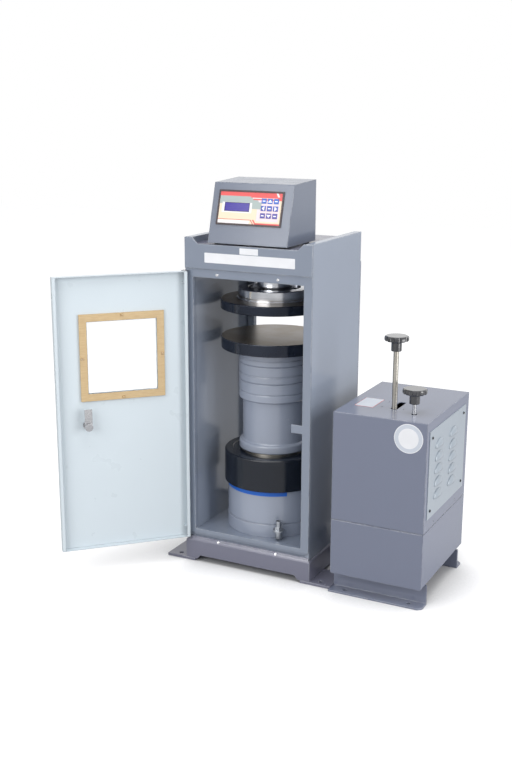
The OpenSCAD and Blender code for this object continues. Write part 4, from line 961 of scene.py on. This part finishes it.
def make_floor_material():
    """Diffuse grey plus a white glow times the open share of the sky over each point, so the glow paints
    shade where the floor is shut in.
    """
    material, tree, shader = new_material("studio floor")
    shader.inputs["Base Color"].default_value = (0.50, 0.50, 0.51, 1)
    shader.inputs["Roughness"].default_value = 0.9
    shader.inputs["Specular IOR Level"].default_value = 0.1
    # Ambient occlusion dims the floor's glow under and beside the machine: painted shade.
    painted_shade_ao = add_node(tree, "AmbientOcclusion", samples=8, Distance=0.30)
    glow = map_range(tree, painted_shade_ao.outputs["AO"], 0.30, 0.97)
    white = add_node(tree, "CombineColor")
    for channel in range(3):
        tree.links.new(glow, white.inputs[channel])
    tree.links.new(white.outputs[0], shader.inputs["Emission Color"])
    path = add_node(tree, "LightPath")
    gloss = math_node(tree, "MULTIPLY", path.outputs["Is Glossy Ray"], GLOW_IN_GLOSS)
    seen = math_node(tree, "MAXIMUM", math_node(tree, "MAXIMUM", path.outputs["Is Camera Ray"], gloss),
                     path.outputs["Is Transmission Ray"])
    tree.links.new(math_node(tree, "MULTIPLY", seen, FLOOR_GLOW), shader.inputs["Emission Strength"])
    return material


floor_mesh = bpy.data.meshes.new("floor")
floor_mesh.from_pydata([(-FLOOR_HALF, -FLOOR_HALF, 0), (FLOOR_HALF, -FLOOR_HALF, 0),
                        (FLOOR_HALF, FLOOR_HALF, 0), (-FLOOR_HALF, FLOOR_HALF, 0)], [], [(0, 1, 2, 3)])
floor_mesh.materials.append(make_floor_material())
floor = bpy.data.objects.new("floor", floor_mesh)
bpy.context.scene.collection.objects.link(floor)
print("floor", 2 * FLOOR_HALF, "m square, glow", FLOOR_GLOW)

# %% [markdown]
# The world could be one white strength for all rays, but then its light would
# fill every shadow. It is full white for the camera, for gloss and for glass,
# and a softer grey for the light that it gives to paint.

# %% World
SKY_FOR_EYES, SKY_FOR_LIGHT = 1.0, 0.38


def make_world():
    """Strength = SKY_FOR_LIGHT for diffuse rays and SKY_FOR_EYES for all others."""
    world = bpy.data.worlds.new("studio")
    bpy.context.scene.world = world
    world.use_nodes = True
    tree = world.node_tree
    backdrop = tree.nodes["Background"]
    backdrop.inputs["Color"].default_value = (1, 1, 1, 1)
    path = add_node(tree, "LightPath")
    seen = math_node(tree, "SUBTRACT", 1.0, path.outputs["Is Diffuse Ray"])
    strength = map_range(tree, seen, 0.0, 1.0, SKY_FOR_LIGHT, SKY_FOR_EYES)
    tree.links.new(strength, backdrop.inputs["Strength"])


make_world()
print("world", SKY_FOR_EYES, "to look at,", SKY_FOR_LIGHT, "as light")

# %% [markdown]
# Three big soft lamps light the machine, as softboxes do: one from above, one
# from the right, low enough for the pack to shade the frame's side, and one
# from the front left. A lamp looks at its target, and its turn follows from
# the way there.

# %% Lamps
def area_lamp(name, place, target, size, watts):
    """A soft rectangular lamp at place that looks at target."""
    lamp = bpy.data.lights.new(name, "AREA")
    lamp.shape = "RECTANGLE"
    lamp.size, lamp.size_y = size
    lamp.energy = watts
    made = bpy.data.objects.new(name, lamp)
    bpy.context.scene.collection.objects.link(made)
    made.location = place
    toward = np.array(target) - np.array(place)
    flat = math.hypot(toward[0], toward[1])
    made.rotation_euler = (math.pi / 2 + math.atan2(toward[2], flat), 0,
                           math.atan2(-toward[0], toward[1]))
    print(name, watts, "W,", round(float(np.linalg.norm(toward)), 2), "m from its target")


area_lamp("lamp over", (0.2, -0.6, 3.2), (0.1, 0, 0.6), (2.6, 2.2), 55)
area_lamp("lamp right", (3.4, -0.4, 1.25), (0.2, 0, 0.6), (2.2, 2.6), 91)
area_lamp("lamp front", (-0.6, -3.6, 1.9), (0.1, 0, 0.5), (2.4, 2.0), 71)

# %% [markdown]
# ## Last steps
# The default view transform would soften the colours, and the Standard one
# shows a colour as it is written. What is added for looks must not make it
# bigger.

# %% View settings
bpy.context.scene.view_settings.view_transform = "Standard"
